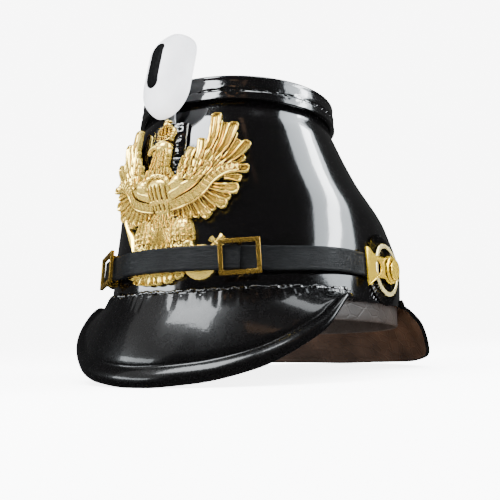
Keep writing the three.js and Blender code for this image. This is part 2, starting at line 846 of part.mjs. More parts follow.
function leafWidths(half, tip) {
  return [
    { at: 0, half: half * 0.7 },
    { at: 0.5, half },
    { at: 0.85, half: half * 0.95 },
    { at: 1, half: half * tip },
  ];
}

// A low oval mound with a flat back
function mound(x, y, halfWidth, halfHeight, high, steps = 12) {
  const loop = (size, z) => range(steps + 1, 0, 2 * Math.PI).slice(0, -1).map((angle) => (
    new THREE.Vector3(x + halfWidth * size * Math.cos(angle), y + halfHeight * size * Math.sin(angle), z)
  ));
  return loft([
    loop(1, 0),
    loop(1, eaglePlate),
    loop(0.85, eaglePlate + high * 0.5),
    loop(0.5, eaglePlate + high * 0.88),
    loop(0.15, eaglePlate + high),
  ], false);
}

const across = (share) => share * eagleHalfSpan;
const upward = (share) => share * eagleHeight;

function makeFeather(row, side) {
  const root = new THREE.Vector2(across(row.rootAcross), upward(row.rootUp));
  const tip = new THREE.Vector2(across(row.tipAcross), upward(row.tipUp));
  const run = tip.clone().sub(root).normalize();
  const middle = root.clone().lerp(tip, 0.5);
  middle.x += run.y * across(row.bend);
  middle.y -= run.x * across(row.bend);
  const half = across(row.width) * 0.62;
  return leaf([root, middle, tip].map((p) => [side * p.x, p.y]), leafWidths(half * 1.15, 0.45), 1.1);
}

function makeWing(side) {
  const arm = [[0.08, 0.5], [0.24, 0.5], [0.42, 0.57], [0.6, 0.63]];
  const ribbon = [[0.1, 0.42], [0.26, 0.47], [0.46, 0.53], [0.62, 0.63], [0.9, 0.67]];
  const path = (list) => list.map(([x, y]) => [side * across(x), upward(y)]);
  return [
    leaf(path(arm), [
      { at: 0, half: across(0.16) },
      { at: 0.4, half: across(0.2) },
      { at: 0.8, half: across(0.15) },
      { at: 1, half: across(0.06) },
    ], 2.4, 6),
    leaf(path(ribbon), [
      { at: 0, half: across(0.05) },
      { at: 0.3, half: across(0.06) },
      { at: 0.8, half: across(0.06) },
      { at: 1, half: across(0.03) },
    ], 3.2, 7),
    ...featherRows.map((row) => makeFeather(row, side)),
  ];
}

function makeTail() {
  const spread = [-0.3, -0.15, 0, 0.15, 0.3];
  return spread.map((tip) => leaf([
    [across(tip * 0.25), upward(0.4)],
    [across(tip * 0.7), upward(0.2)],
    [across(tip), upward(0.005 + 0.1 * Math.abs(tip))],
  ], leafWidths(across(0.1), 0.5), 1.4, 5));
}

function makeLeg(side) {
  const at = (x, y) => [side * across(x), upward(y)];
  const thigh = leaf([at(0.1, 0.44), at(0.27, 0.36), at(0.36, 0.27)], leafWidths(across(0.11), 0.6), 2, 5);
  const claws = [0.24, 0.34, 0.43].map((x) => (
    leaf([at(0.34, 0.3), at((x + 0.36) / 2, 0.25), at(x, 0.19)], leafWidths(across(0.04), 0.4), 1.6, 4)
  ));
  return [thigh, ...claws];
}

function makeOrb() {
  const [x, y] = [across(0.48), upward(0.12)];
  const end = [across(0.68), upward(0.26)];
  const run = new THREE.Vector2(end[0] - x, end[1] - y).normalize();
  const arm = across(0.07);
  const joint = [end[0] - run.x * arm, end[1] - run.y * arm];
  return [
    mound(x, y, across(0.19), upward(0.09), 2.4),
    leaf([[x, y], joint, end], leafWidths(across(0.035), 0.9), 1.4, 4),
    leaf([
      [joint[0] - run.y * arm, joint[1] + run.x * arm],
      joint,
      [joint[0] + run.y * arm, joint[1] - run.x * arm],
    ], leafWidths(across(0.035), 0.9), 1.4, 3),
  ];
}

function makeSceptre() {
  const route = [[-0.27, 0.04], [-0.4, 0.17], [-0.55, 0.3], [-0.7, 0.46]];
  return leaf(route.map(([x, y]) => [across(x), upward(y)]), leafWidths(across(0.05), 0.8), 1.2, 6);
}

function makeHead() {
  const crownArcs = [-1, 0, 1].map((k) => leaf([
    [across(0.05 * k), upward(0.85)],
    [across(0.13 * k), upward(0.91)],
    [across(0.06 * k), upward(0.955)],
  ], leafWidths(across(0.045), 0.7), 1.2, 5));
  return [
    leaf([[0, upward(0.6)], [0, upward(0.7)], [0, upward(0.83)]], [
      { at: 0, half: across(0.17) },
      { at: 0.4, half: across(0.1) },
      { at: 1, half: across(0.085) },
    ], 3.2, 6),
    mound(0, upward(0.81), across(0.105), upward(0.042), 3.4, 12),
    leaf([[0, upward(0.81)], [across(-0.12), upward(0.81)], [across(-0.2), upward(0.785)]], leafWidths(across(0.045), 0.3), 2, 4),
    leaf([[across(-0.12), upward(0.852)], [0, upward(0.857)], [across(0.12), upward(0.852)]], leafWidths(across(0.03), 0.9), 1.8, 4),
    ...crownArcs,
    mound(0, upward(0.955), across(0.06), upward(0.022), 1.6, 8),
  ];
}

function pocketLift(x, up) {
  const half = pocketWidth / 2 + gap;
  const sideways = 1 - THREE.MathUtils.smoothstep(Math.abs(x), half, half * 2.3);
  const upwards = THREE.MathUtils.smoothstep(up, pocketBottom - pocketRampLength, pocketBottom - gap);
  return (pocketDepth + gap) * sideways * upwards;
}

function makeEagle() {
  const flat = joined([
    mound(0, upward(0.53), across(0.2), upward(0.135), eagleBreastDepth, 14),
    ...makeHead(),
    ...makeTail(),
    ...makeLeg(1),
    ...makeLeg(-1),
    ...makeOrb(),
    makeSceptre(),
    ...makeWing(1),
    ...makeWing(-1),
  ]);
  return mapPoints(flat, (p) => {
    const up = eagleFootHeight + p.y;
    const aboveStrap = strapHeight + strapWidth / 2 + 2;
    const free = THREE.MathUtils.smoothstep(up, aboveStrap, aboveStrap + 0.2 * eagleHeight);
    const spring = eagleWingSpring * free * (p.x / eagleHalfSpan) ** 2;
    return bentPoint(0, p.x, up, eagleStandoff + pocketLift(p.x, up) + spring + p.z);
  });
}

addPiece('eagle_plate', makeEagle(), brass);

// The hat at rest: turned until the lowest points in front and behind are
// level, with its origin under the middle of its box
function lowest(points, side) {
  return points.filter((p) => p.y * side > 0).reduce((low, p) => (p.z < low.z ? p : low));
}

function restShako() {
  const pieces = shako.children.map((piece) => piece.geometry);
  for (let pass = 0; pass < 3; pass += 1) {
    const points = pieces.flatMap((geometry) => {
      const place = geometry.attributes.position;
      return Array.from({ length: place.count }, (_, i) => (
        new THREE.Vector3().fromBufferAttribute(place, i)
      ));
    });
    const front = lowest(points, -1);
    const back = lowest(points, 1);
    const tilt = -Math.atan2(back.z - front.z, back.y - front.y);
    pieces.forEach((geometry) => geometry.rotateX(tilt));
  }
  const size = new THREE.Box3().setFromObject(shako);
  const middle = size.getCenter(new THREE.Vector3());
  pieces.forEach((geometry) => geometry.translate(-middle.x, -middle.y, -size.min.z));
}

restShako();

export default shako;
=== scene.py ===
# %% [markdown]
# This lesson dresses a black lacquered leather shako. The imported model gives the
# solid pieces at their real size. Here each piece gets the rounded edges, seams,
# relief and finish of the real hat, in the same frame and in metres.

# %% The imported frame
import json
from math import copysign, cos, degrees, exp, hypot, pi, radians, sin, sqrt

import bmesh
import bpy
from mathutils import Matrix, Vector, noise

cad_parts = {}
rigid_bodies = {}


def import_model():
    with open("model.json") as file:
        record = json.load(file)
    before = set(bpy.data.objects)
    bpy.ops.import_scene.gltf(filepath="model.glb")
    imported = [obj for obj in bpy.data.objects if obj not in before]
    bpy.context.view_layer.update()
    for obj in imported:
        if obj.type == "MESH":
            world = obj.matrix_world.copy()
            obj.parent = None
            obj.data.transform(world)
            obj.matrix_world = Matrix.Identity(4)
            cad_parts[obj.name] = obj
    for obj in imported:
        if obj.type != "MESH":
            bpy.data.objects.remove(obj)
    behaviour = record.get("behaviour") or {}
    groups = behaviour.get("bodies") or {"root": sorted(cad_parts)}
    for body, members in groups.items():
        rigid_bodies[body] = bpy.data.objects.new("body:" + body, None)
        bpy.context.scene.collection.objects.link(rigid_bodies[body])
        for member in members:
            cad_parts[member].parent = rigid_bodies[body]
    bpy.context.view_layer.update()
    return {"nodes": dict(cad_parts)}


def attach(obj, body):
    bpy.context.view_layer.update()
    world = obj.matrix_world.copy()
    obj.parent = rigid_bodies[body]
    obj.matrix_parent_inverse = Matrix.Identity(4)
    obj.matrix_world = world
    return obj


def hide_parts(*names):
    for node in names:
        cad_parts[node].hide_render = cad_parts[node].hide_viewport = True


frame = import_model()
nodes = frame["nodes"]
print("nodes:", len(nodes))

# %% [markdown]
# The hat is easiest to think of upright, in millimetres, with the rim of its shell
# at height 0. At rest it leans on its peak and neck guard, so one matrix carries
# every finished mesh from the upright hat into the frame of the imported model.

# %% From the upright hat to the hat at rest
MM = 0.001
REST_TILT = radians(-3.3332)
REST_SHIFT = Vector((0.0, -4.3988, 42.8969))
TO_REST = (Matrix.Scale(MM, 4) @ Matrix.Translation(REST_SHIFT)
           @ Matrix.Rotation(REST_TILT, 4, "X"))
GAP = 0.3
print("tilt at rest:", round(degrees(REST_TILT), 2), "degrees")

# %% [markdown]
# A shell like this is an oval at every height. A short table says how far each
# section has grown from the crown's oval to the rim's, and a smooth curve through
# its rows gives the sections between them.

# %% Smooth values between the rows of a table
def between(rows, at, column):
    """Cubic through the rows of a table, level at the first and with no overshoot."""
    last = len(rows) - 1
    x = min(max(at, rows[0][0]), rows[last][0])
    i = 0
    while i < last - 1 and x > rows[i + 1][0]:
        i += 1

    def slope(k):
        return (rows[k + 1][column] - rows[k][column]) / (rows[k + 1][0] - rows[k][0])

    def bend(k):
        if k == 0:
            return 0.0
        if k == last:
            return slope(last - 1)
        before, after = slope(k - 1), slope(k)
        return 0.0 if before * after <= 0 else 2 / (1 / before + 1 / after)

    h = rows[i + 1][0] - rows[i][0]
    t = (x - rows[i][0]) / h
    return ((2 * t**3 - 3 * t**2 + 1) * rows[i][column] + (t**3 - 2 * t**2 + t) * h * bend(i)
            + (3 * t**2 - 2 * t**3) * rows[i + 1][column] + (t**3 - t**2) * h * bend(i + 1))


def smooth(x, low, high):
    t = min(max((x - low) / (high - low), 0.0), 1.0)
    return t * t * (3 - 2 * t)


def mix(a, b, t):
    return a + (b - a) * t


def bump(x, at, wide):
    """A soft hump, 1 at its middle and near 0 past twice its width."""
    return exp(-((x - at) / wide) ** 2)


def spread(count, low, high):
    return [low + (high - low) * i / (count - 1) for i in range(count)]


def around(count, k):
    return 2 * pi * k / count

# %% The oval wall of the shell
SHELL_HEIGHT, SHELL_WALL = 134.5, 2.0
RIM_WIDTH, RIM_FRONT, RIM_BACK = 190.0, 104.0, 112.8
CROWN_WIDTH, CROWN_FRONT, CROWN_BACK = 123.5, 86.0, 40.0
SHELL_ROWS = [(0, 1, 1, 1), (0.16, 1, 0.93, 1.01), (0.39, 0.86, 0.7, 0.74),
              (0.62, 0.46, 0.62, 0.33), (0.79, 0.2, 0.45, 0.1),
              (0.9, 0.04, 0.14, 0.015), (1, 0, 0, 0)]


def oval_at(up):
    at = up / SHELL_HEIGHT
    front = mix(CROWN_FRONT, RIM_FRONT, between(SHELL_ROWS, at, 2))
    back = mix(CROWN_BACK, RIM_BACK, between(SHELL_ROWS, at, 3))
    side = mix(CROWN_WIDTH / 2, RIM_WIDTH / 2, between(SHELL_ROWS, at, 1))
    return side, (front + back) / 2, (back - front) / 2


def wall_face(turn, side, half):
    return Vector((sin(turn) / side, -cos(turn) / half, 0)).normalized()


def wall_point(turn, up, proud=0.0):
    """A point on the wall: turn from the front to the wearer's left, proud of the leather."""
    side, half, middle = oval_at(up)
    on_wall = Vector((side * sin(turn), middle - half * cos(turn), up))
    return on_wall + proud * wall_face(turn, side, half)


def bent_point(centre_turn, across, up, proud=0.0):
    side, half, _ = oval_at(up)
    speed = hypot(side * cos(centre_turn), half * sin(centre_turn))
    return wall_point(centre_turn + across / speed, up, proud)


print("rim to crown:", [round(v) for v in oval_at(0)], [round(v) for v in oval_at(SHELL_HEIGHT)])

# %% [markdown]
# Nearly every piece here is a loop carried along a path: rings up the shell, a
# strap's section round the hat, a profile round a boss. One helper does all of
# them. It starts from a circle, extrudes its edges once for each station, and puts
# each new point where the piece's own shape function says.

# %% A loop carried through stations
def new_verts(made):
    return [g for g in made["geom"] if isinstance(g, bmesh.types.BMVert)]


def sweep(count, stations, place, wrap=False):
    """Extrudes a loop of count points through the stations; place(k, s) puts each point."""
    bm = bmesh.new()
    corner = bm.verts.layers.int.new("corner")
    ring = bmesh.ops.create_circle(bm, cap_ends=False, segments=count, radius=1)["verts"]
    edges = list({e for v in ring for e in v.link_edges})
    for k, v in enumerate(ring):
        v[corner] = k
        v.co = place(k, stations[0])
    first = edges
    for s in stations[1:]:
        made = bmesh.ops.extrude_edge_only(bm, edges=edges)
        fresh = set(new_verts(made))
        for v in fresh:
            v.co = place(v[corner], s)
        edges = [e for e in made["geom"] if isinstance(e, bmesh.types.BMEdge)
                 and e.verts[0] in fresh and e.verts[1] in fresh]
    if wrap:
        bmesh.ops.bridge_loops(bm, edges=first + edges)
    else:
        bmesh.ops.contextual_create(bm, geom=first)
        bmesh.ops.contextual_create(bm, geom=edges)
    return bm

# %% A raised patch for relief work
def raised_patch(bm, along, across, place, foot=0.0):
    """A grid shaped by place(s, v), s from 0 to 1 and v from -1 to 1, with walls down to foot."""
    verts = bmesh.ops.create_grid(bm, x_segments=along, y_segments=across, size=1)["verts"]
    reach = max(abs(v.co.x) for v in verts)
    for v in verts:
        v.co = place((v.co.x / reach + 1) / 2, v.co.y / reach)
    inside = set(verts)
    rim = [e for e in {e for v in verts for e in v.link_edges}
           if len(e.link_faces) == 1 and e.verts[0] in inside]
    for v in new_verts(bmesh.ops.extrude_edge_only(bm, edges=rim)):
        v.co.z = foot

# %% A finished piece
def add_object(name, data):
    made = bpy.data.objects.new(name, data)
    bpy.context.scene.collection.objects.link(made)
    return made


def finish_piece(name, bm, finishes, replaced=(), angle=40, place=TO_REST):
    """Carries a mesh to its place, shades it, hangs it on the root body and hides the parts it
    replaces.
    """
    bmesh.ops.transform(bm, matrix=place, verts=bm.verts)
    bmesh.ops.recalc_face_normals(bm, faces=bm.faces)
    mesh = bpy.data.meshes.new(name)
    bm.to_mesh(mesh)
    bm.free()
    for finish in finishes if isinstance(finishes, list) else [finishes]:
        mesh.materials.append(finish)
    mesh.shade_smooth()
    mesh.set_sharp_from_angle(angle=radians(angle))
    piece = add_object(name, mesh)
    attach(piece, "root")
    if replaced:
        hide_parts(*replaced)
    print(name, "faces:", len(mesh.polygons))

# %% [markdown]
# Finishes come next. A material here is a Principled shader plus a few textures
# read from Object coordinates, which are metres, so a scale of 100 gives marks
# about a centimetre across. Bumps are chained, the coarse one first.

# %% Helpers for finishes
def new_finish(name, color, roughness, metallic=0.0, **sockets):
    finish = bpy.data.materials.new(name)
    finish.use_nodes = True
    shader = finish.node_tree.nodes["Principled BSDF"]
    shader.inputs["Base Color"].default_value = (*color, 1)
    shader.inputs["Roughness"].default_value = roughness
    shader.inputs["Metallic"].default_value = metallic
    for socket, value in sockets.items():
        shader.inputs[socket.replace("_", " ")].default_value = value
    finish.diffuse_color = (*color, 1)
    return finish, shader


def add_texture(finish, kind, scale, stretch=(1, 1, 1), **values):
    tree = finish.node_tree
    where = tree.nodes.new("ShaderNodeTexCoord")
    place = tree.nodes.new("ShaderNodeMapping")
    place.inputs["Scale"].default_value = stretch
    texture = tree.nodes.new(kind)
    texture.inputs["Scale"].default_value = scale
    for socket, value in values.items():
        texture.inputs[socket].default_value = value
    tree.links.new(where.outputs["Object"], place.inputs["Vector"])
    tree.links.new(place.outputs["Vector"], texture.inputs["Vector"])
    return texture


def add_noise(finish, scale, **values):
    return add_texture(finish, "ShaderNodeTexNoise", scale, **values).outputs["Fac"]


def add_ramp(finish, source, stops):
    tree = finish.node_tree
    ramp = tree.nodes.new("ShaderNodeValToRGB")
    tree.links.new(source, ramp.inputs["Fac"])
    while len(ramp.color_ramp.elements) < len(stops):
        ramp.color_ramp.elements.new(0.5)
    for element, (at, value) in zip(ramp.color_ramp.elements, stops):
        element.position = at
        element.color = (*value, 1) if isinstance(value, tuple) else (value, value, value, 1)
    return ramp.outputs["Color"]


def ramp_into(finish, shader, socket, source, stops):
    finish.node_tree.links.new(add_ramp(finish, source, stops), shader.inputs[socket])


def add_bumps(finish, shader, layers, sockets=("Normal",)):
    """layers: (texture output, depth in metres, strength), coarse to fine."""
    tree = finish.node_tree
    last = None
    for source, depth, strength in layers:
        node = tree.nodes.new("ShaderNodeBump")
        node.inputs["Strength"].default_value = strength
        node.inputs["Distance"].default_value = depth
        tree.links.new(source, node.inputs["Height"])
        if last:
            tree.links.new(last, node.inputs["Normal"])
        last = node.outputs["Normal"]
    for socket in sockets:
        tree.links.new(last, shader.inputs[socket])

# %% [markdown]
# The shell, cap, peak and guard are leather under many coats of black lacquer.
# The lacquer is nearly a mirror, yet the leather under it is never flat, so its
# reflections waver: long soft waves, a slight orange peel and hair-fine rubbing.

# %% Lacquered leather
def lacquer(name, wave_depth, peel_depth, roughness=0.16, gloss=1.0):
    finish, shader = new_finish(name, (0.0007, 0.00065, 0.0007), roughness,
                                Coat_Weight=gloss, Coat_Roughness=0.05, Coat_IOR=1.5,
                                Specular_IOR_Level=0.5 * gloss)
    waves = add_noise(finish, 26, Detail=1.5, Roughness=0.4)
    peel = add_noise(finish, 420, Detail=3.0, Roughness=0.6)
    rubs = add_noise(finish, 140, Detail=6.0, Roughness=0.7)
    add_bumps(finish, shader, [(waves, wave_depth, 1.0), (peel, peel_depth, 1.0)],
              ("Normal", "Coat Normal"))
    ramp_into(finish, shader, "Roughness", rubs,
              [(0.35, roughness * 0.95), (0.75, roughness * 1.2)])
    return finish


shell_lacquer = lacquer("shell lacquer", 0.0005, 0.00002, 0.12)
peak_lacquer = lacquer("peak lacquer", 0.0007, 0.00004, 0.26, 0.32)
seam_lacquer = lacquer("seam lacquer", 0.0012, 0.0002, 0.12)
cap_lacquer = lacquer("cap lacquer", 0.0012, 0.00006, 0.14)
print("lacquers ready")

# %% [markdown]
# The sweatband and the inside of the neck guard are plain brown leather, with
# fine creases and darker patches. The strap is waxed grey-black leather with
# scratches along it.

# %% Plain leathers
def creased_leather(name, dark, light, depth, roughness):
    finish, shader = new_finish(name, light, roughness)
    cloud = add_noise(finish, 34, Detail=5.0, Roughness=0.65)
    ramp_into(finish, shader, "Base Color", cloud, [(0.32, dark), (0.68, light)])
    cracks = add_texture(finish, "ShaderNodeTexVoronoi", 95, stretch=(1, 1, 1.6))
    cracks.feature = "DISTANCE_TO_EDGE"
    lines = add_ramp(finish, cracks.outputs["Distance"], [(0.0, 0.0), (0.09, 1.0)])
    grain = add_noise(finish, 900, Detail=3.0, Roughness=0.6)
    add_bumps(finish, shader, [(lines, depth, 0.5), (grain, depth * 0.4, 0.6)])
    return finish


band_leather = creased_leather("band leather", (0.007, 0.0046, 0.0034), (0.0175, 0.0118, 0.0088),
                               0.00025, 0.55)
guard_lining = creased_leather("guard lining", (0.0085, 0.0036, 0.0014), (0.027, 0.0115, 0.0045),
                               0.0003, 0.42)


def strap_finish():
    finish, shader = new_finish("strap leather", (0.0022, 0.0025, 0.0028), 0.42,
                                Specular_IOR_Level=0.12)
    cloud = add_noise(finish, 55, stretch=(1, 1, 2.5), Detail=4.0)
    ramp_into(finish, shader, "Base Color", cloud,
              [(0.3, (0.0013, 0.0015, 0.0017)), (0.75, (0.0034, 0.0038, 0.0042))])
    marks = add_noise(finish, 160, stretch=(1, 1, 7), Detail=5.0, Roughness=0.65, Distortion=0.8)
    scratches = add_ramp(finish, marks, [(0.42, 0.0), (0.6, 1.0)])
    add_bumps(finish, shader, [(scratches, 0.00012, 0.7)])
    ramp_into(finish, shader, "Roughness", marks, [(0.35, 0.34), (0.7, 0.56)])
    return finish


strap_leather = strap_finish()
print("leathers ready")

# %% [markdown]
# The eagle and the fittings are brass. Polished high spots are pale and
# nearly white where they catch the lights. Ambient Occlusion finds the deep
# places, and a ramp darkens them to brown: painted shade in the creases.

# %% Brass, pale metal and paint
def brass_finish(name, bright, deep, roughness, reach, metallic=0.9, dent=0.00005):
    finish, shader = new_finish(name, bright, roughness, metallic)
    # Painted shade: the ramp turns the base colour brown where Ambient Occlusion finds creases and
    # hollows.
    hollow = finish.node_tree.nodes.new("ShaderNodeAmbientOcclusion")
    hollow.samples = 8
    hollow.inputs["Distance"].default_value = reach
    middle = tuple(mix(a, b, 0.6) for a, b in zip(deep, bright))
    ramp_into(finish, shader, "Base Color", hollow.outputs["AO"],
              [(0.3, deep), (0.62, middle), (0.92, bright)])
    ramp_into(finish, shader, "Roughness", add_noise(finish, 260, Detail=4.0),
              [(0.3, roughness * 0.7), (0.7, roughness * 1.5)])
    add_bumps(finish, shader, [(add_noise(finish, 700, Detail=2.0), dent, 0.8)])
    return finish


# The second colour of each brass is the painted shade for its creases.
eagle_brass = brass_finish("eagle brass", (1.0, 0.73, 0.16), (0.15, 0.045, 0.003), 0.16, 0.0026,
                           0.85)
fitting_brass = brass_finish("fitting brass", (1.0, 0.68, 0.06), (0.2, 0.07, 0.004), 0.15, 0.002,
                             0.86)
buckle_brass = brass_finish("buckle brass", (0.34, 0.21, 0.04), (0.08, 0.04, 0.008), 0.2, 0.001,
                            0.95, 0.00001)
pale_brass = brass_finish("pale brass", (0.98, 0.82, 0.36), (0.3, 0.2, 0.06), 0.26, 0.001, 0.84)


def pearl_finish():
    finish, shader = new_finish("pearl white", (0.5, 0.5, 0.52), 0.5,
                                Coat_Weight=0.12, Coat_Roughness=0.3)
    ramp_into(finish, shader, "Base Color", add_noise(finish, 70, Detail=3.0),
              [(0.3, (0.4, 0.4, 0.42)), (0.7, (0.47, 0.47, 0.485))])
    add_bumps(finish, shader, [(add_noise(finish, 600, Detail=2.0), 0.00003, 0.7)])
    return finish


def plain_finish(name, color, roughness, metallic, scale, depth, **sockets):
    finish, shader = new_finish(name, color, roughness, metallic, **sockets)
    fine = add_noise(finish, scale, Detail=3.0)
    add_bumps(finish, shader, [(fine, depth, 0.7)])
    ramp_into(finish, shader, "Roughness", fine, [(0.3, roughness * 0.8), (0.7, roughness * 1.3)])
    return finish


pearl_white = pearl_finish()
inlay_black = plain_finish("inlay black", (0.0006, 0.0006, 0.0007), 0.6, 0.0, 500, 0.00005,
                           Specular_IOR_Level=0.03)
cockade_leather = lacquer("cockade leather", 0.0003, 0.00006, 0.24)
sheet_steel = plain_finish("sheet steel", (0.42, 0.42, 0.43), 0.35, 1.0, 400, 0.00004)
print("metals and paints ready")

# %% [markdown]
# The shell is one skin, outside and inside, with a rounded edge at its rim. Its
# top edge is flat and lies hidden under the crown cap.

# %% Shell
def shell_steps():
    edge = SHELL_WALL / 2
    rim = [(edge - edge * sin(a), -edge - edge * cos(a))
           for a in spread(5, pi, 0)]
    outer = [(up, 0.0) for up in spread(60, edge, SHELL_HEIGHT)]
    inner = [(up, -SHELL_WALL) for up in spread(40, SHELL_HEIGHT, edge)]
    return outer + inner + [(up, proud) for up, proud in reversed(rim[1:-1])]


ROUND = 176
shell = sweep(ROUND, shell_steps(), lambda k, s: wall_point(around(ROUND, k), *s), wrap=True)
finish_piece("shell", shell, shell_lacquer, ["body"], 50)

# %% [markdown]
# The crown cap is a disc of leather with a band turned down over the shell. A row
# of stitches runs round the band two thirds of the way down, under the lacquer,
# which has pooled into lumps along it.

# %% Crown cap
CAP_DISC, CAP_WALL, CAP_BAND = 3.0, 3.6, 16.2
CAP_TOP = SHELL_HEIGHT + GAP + CAP_DISC
CAP_FOOT = CAP_TOP - CAP_BAND
CAP_OUT = GAP + CAP_WALL
CAP_ROUND, CAP_SAG, STITCH_SHARE = 1.9, 0.5, 0.36
STITCH_UP = CAP_FOOT + STITCH_SHARE * CAP_BAND


def lumps(p, size, seed=0.0):
    return noise.noise(Vector((p.x / size + seed, p.y / size, p.z / size)))


def cap_steps():
    r = CAP_ROUND
    top = [(CAP_TOP - CAP_SAG * smooth(d, 0, 34), -d) for d in (58, 50, 40, 30, 20, 12, 6, 2, 0.4)]
    edge = [(CAP_TOP - r + r * cos(a), CAP_OUT - r + r * sin(a)) for a in spread(6, 0.2, pi / 2)]
    band = []
    for up in spread(34, CAP_TOP - 3, CAP_FOOT + 0.8):
        groove = 0.45 * bump(up, STITCH_UP, 0.8)
        band.append((up, CAP_OUT - groove - 0.3 * smooth(up, CAP_TOP - 9, CAP_TOP - 3)))
    foot = [(CAP_FOOT + 0.2, CAP_OUT - 0.1), (CAP_FOOT, CAP_OUT - 0.8), (CAP_FOOT, GAP + 0.5),
            (CAP_FOOT + 0.5, GAP)]
    inside = [(SHELL_HEIGHT + GAP, GAP), (SHELL_HEIGHT + GAP, -4), (SHELL_HEIGHT + GAP, -30)]
    return top + edge + band + foot + inside


def cap_point(k, s):
    up, proud = s
    turn = around(ROUND, k)
    p = wall_point(turn, min(up, SHELL_HEIGHT), max(proud, -56.0))
    p.z = up
    near = bump(up, STITCH_UP, 2.6) if proud > 2 else 0.0
    p.z += 0.35 * near * lumps(p, 7.0)
    return wall_shift(p, turn, near * 0.8 * lumps(p, 2.6, 5.0))


def wall_shift(p, turn, out):
    side, half, _ = oval_at(min(p.z, SHELL_HEIGHT))
    return p + out * wall_face(turn, side, half)


cap = sweep(ROUND, cap_steps(), cap_point)
finish_piece("crown_cap_leather", cap, cap_lacquer, ["crown_cap"], 50)

# %% [markdown]
# A stitch is a short thread that dips into the leather at both ends. One helper
# lays a stitch along any line on the hat, as a small faceted bead of six sides.

# %% Stitches
def stitch(bm, start, end, out, thick):
    run = end - start
    side = run.cross(out).normalized()
    made = bmesh.ops.create_uvsphere(bm, u_segments=6, v_segments=5, radius=1)["verts"]
    middle = (start + end) / 2
    for v in made:
        v.co = (middle + run * (0.5 * v.co.z) + side * (thick * v.co.x)
                + out * (thick * 0.8 * v.co.y + thick * 0.3 * (1 - v.co.z**2)))


def stitch_row(name, turns, up_at, proud, thick, fill):
    """Stitches under the lacquer; up_at(turn) is the height of the row."""
    bm = bmesh.new()
    for a, b in zip(turns, turns[1:]):
        mid, far = mix(a, b, 0.5), mix(a, b, fill)
        start, end = wall_point(a, up_at(a), proud), wall_point(far, up_at(far), proud)
        out = (wall_point(mid, up_at(mid), 5) - wall_point(mid, up_at(mid), 0)).normalized()
        stitch(bm, start, end, out, thick)
    finish_piece(name, bm, seam_lacquer)


cap_turns = spread(61, 0, 2 * pi)
stitch_row("cap_stitches", cap_turns, lambda t: STITCH_UP + 0.25 * sin(9 * t),
           CAP_OUT - 0.35, 0.42, 0.42)

# %% [markdown]
# The sweatband is a band of brown leather inside the rim. Its lower edge is
# rounded and hangs a little below the shell.

# %% Sweatband
BAND_DROP, BAND_HEIGHT, BAND_WALL = 11.5, 42.0, 2.0


def band_steps():
    outer, inner = -(SHELL_WALL + GAP), -(SHELL_WALL + GAP + BAND_WALL)
    middle, edge = (outer + inner) / 2, BAND_WALL / 2
    outside = [(up, outer) for up in spread(14, edge - BAND_DROP, BAND_HEIGHT - BAND_DROP - 0.5)]
    inside = [(up, inner) for up in spread(14, BAND_HEIGHT - BAND_DROP - 0.5, edge - BAND_DROP)]
    foot = [(edge - BAND_DROP - edge * sin(a), middle - edge * cos(a))
            for a in spread(7, 0, pi)][1:-1]
    return outside + inside + foot


def band_point(k, s):
    up, proud = s
    p = wall_point(around(ROUND, k), max(up, 0), proud)
    p.z = up
    return p


band = sweep(ROUND, band_steps(), band_point, wrap=True)
finish_piece("sweatband_leather", band, band_leather, ["sweatband"], 60)

# %% [markdown]
# Peak and neck guard are curved sheets sewn to the shell. Their free edge is
# rolled over into a thick round lip. The section below has a flange up the shell,
# a sheet along a bent line, and the roll; it is carried round the hat, and short
# tables say how far the edge reaches and drops on the way.

# %% Section of a peak or guard
PEAK_ROWS = [(0, 1, 1, 0.5), (0.25, 0.94, 0.95, 0.55), (0.5, 0.97, 0.79, 0.75),
             (0.75, 1.13, 0.4, 1), (0.92, 0.75, -0.03, 1), (1, 0.15, -0.04, 1)]
GUARD_ROWS = [(0, 1, 1, 0.8), (0.25, 0.93, 0.985, 0.8), (0.5, 0.78, 0.985, 0.85),
              (0.75, 0.84, 0.89, 0.95), (0.92, 0.58, 0.34, 1), (1, 0.12, -0.06, 1)]
PEAK = {"thick": 2.4, "reach": 19.6, "drop": 50.7, "seam": 6.0, "flange": 5.0,
        "roll": 9.0, "high": 1.7, "rows": PEAK_ROWS, "centre": 0.0, "half": 67.5}
GUARD = {"thick": 2.2, "reach": 25.0, "drop": 35.0, "seam": 5.5, "flange": 5.0,
         "roll": 4.0, "high": 0.35, "rows": GUARD_ROWS, "centre": 180.0, "half": 70.0}
SEAM_CORNERS, INNER_CORNER = 12, 30


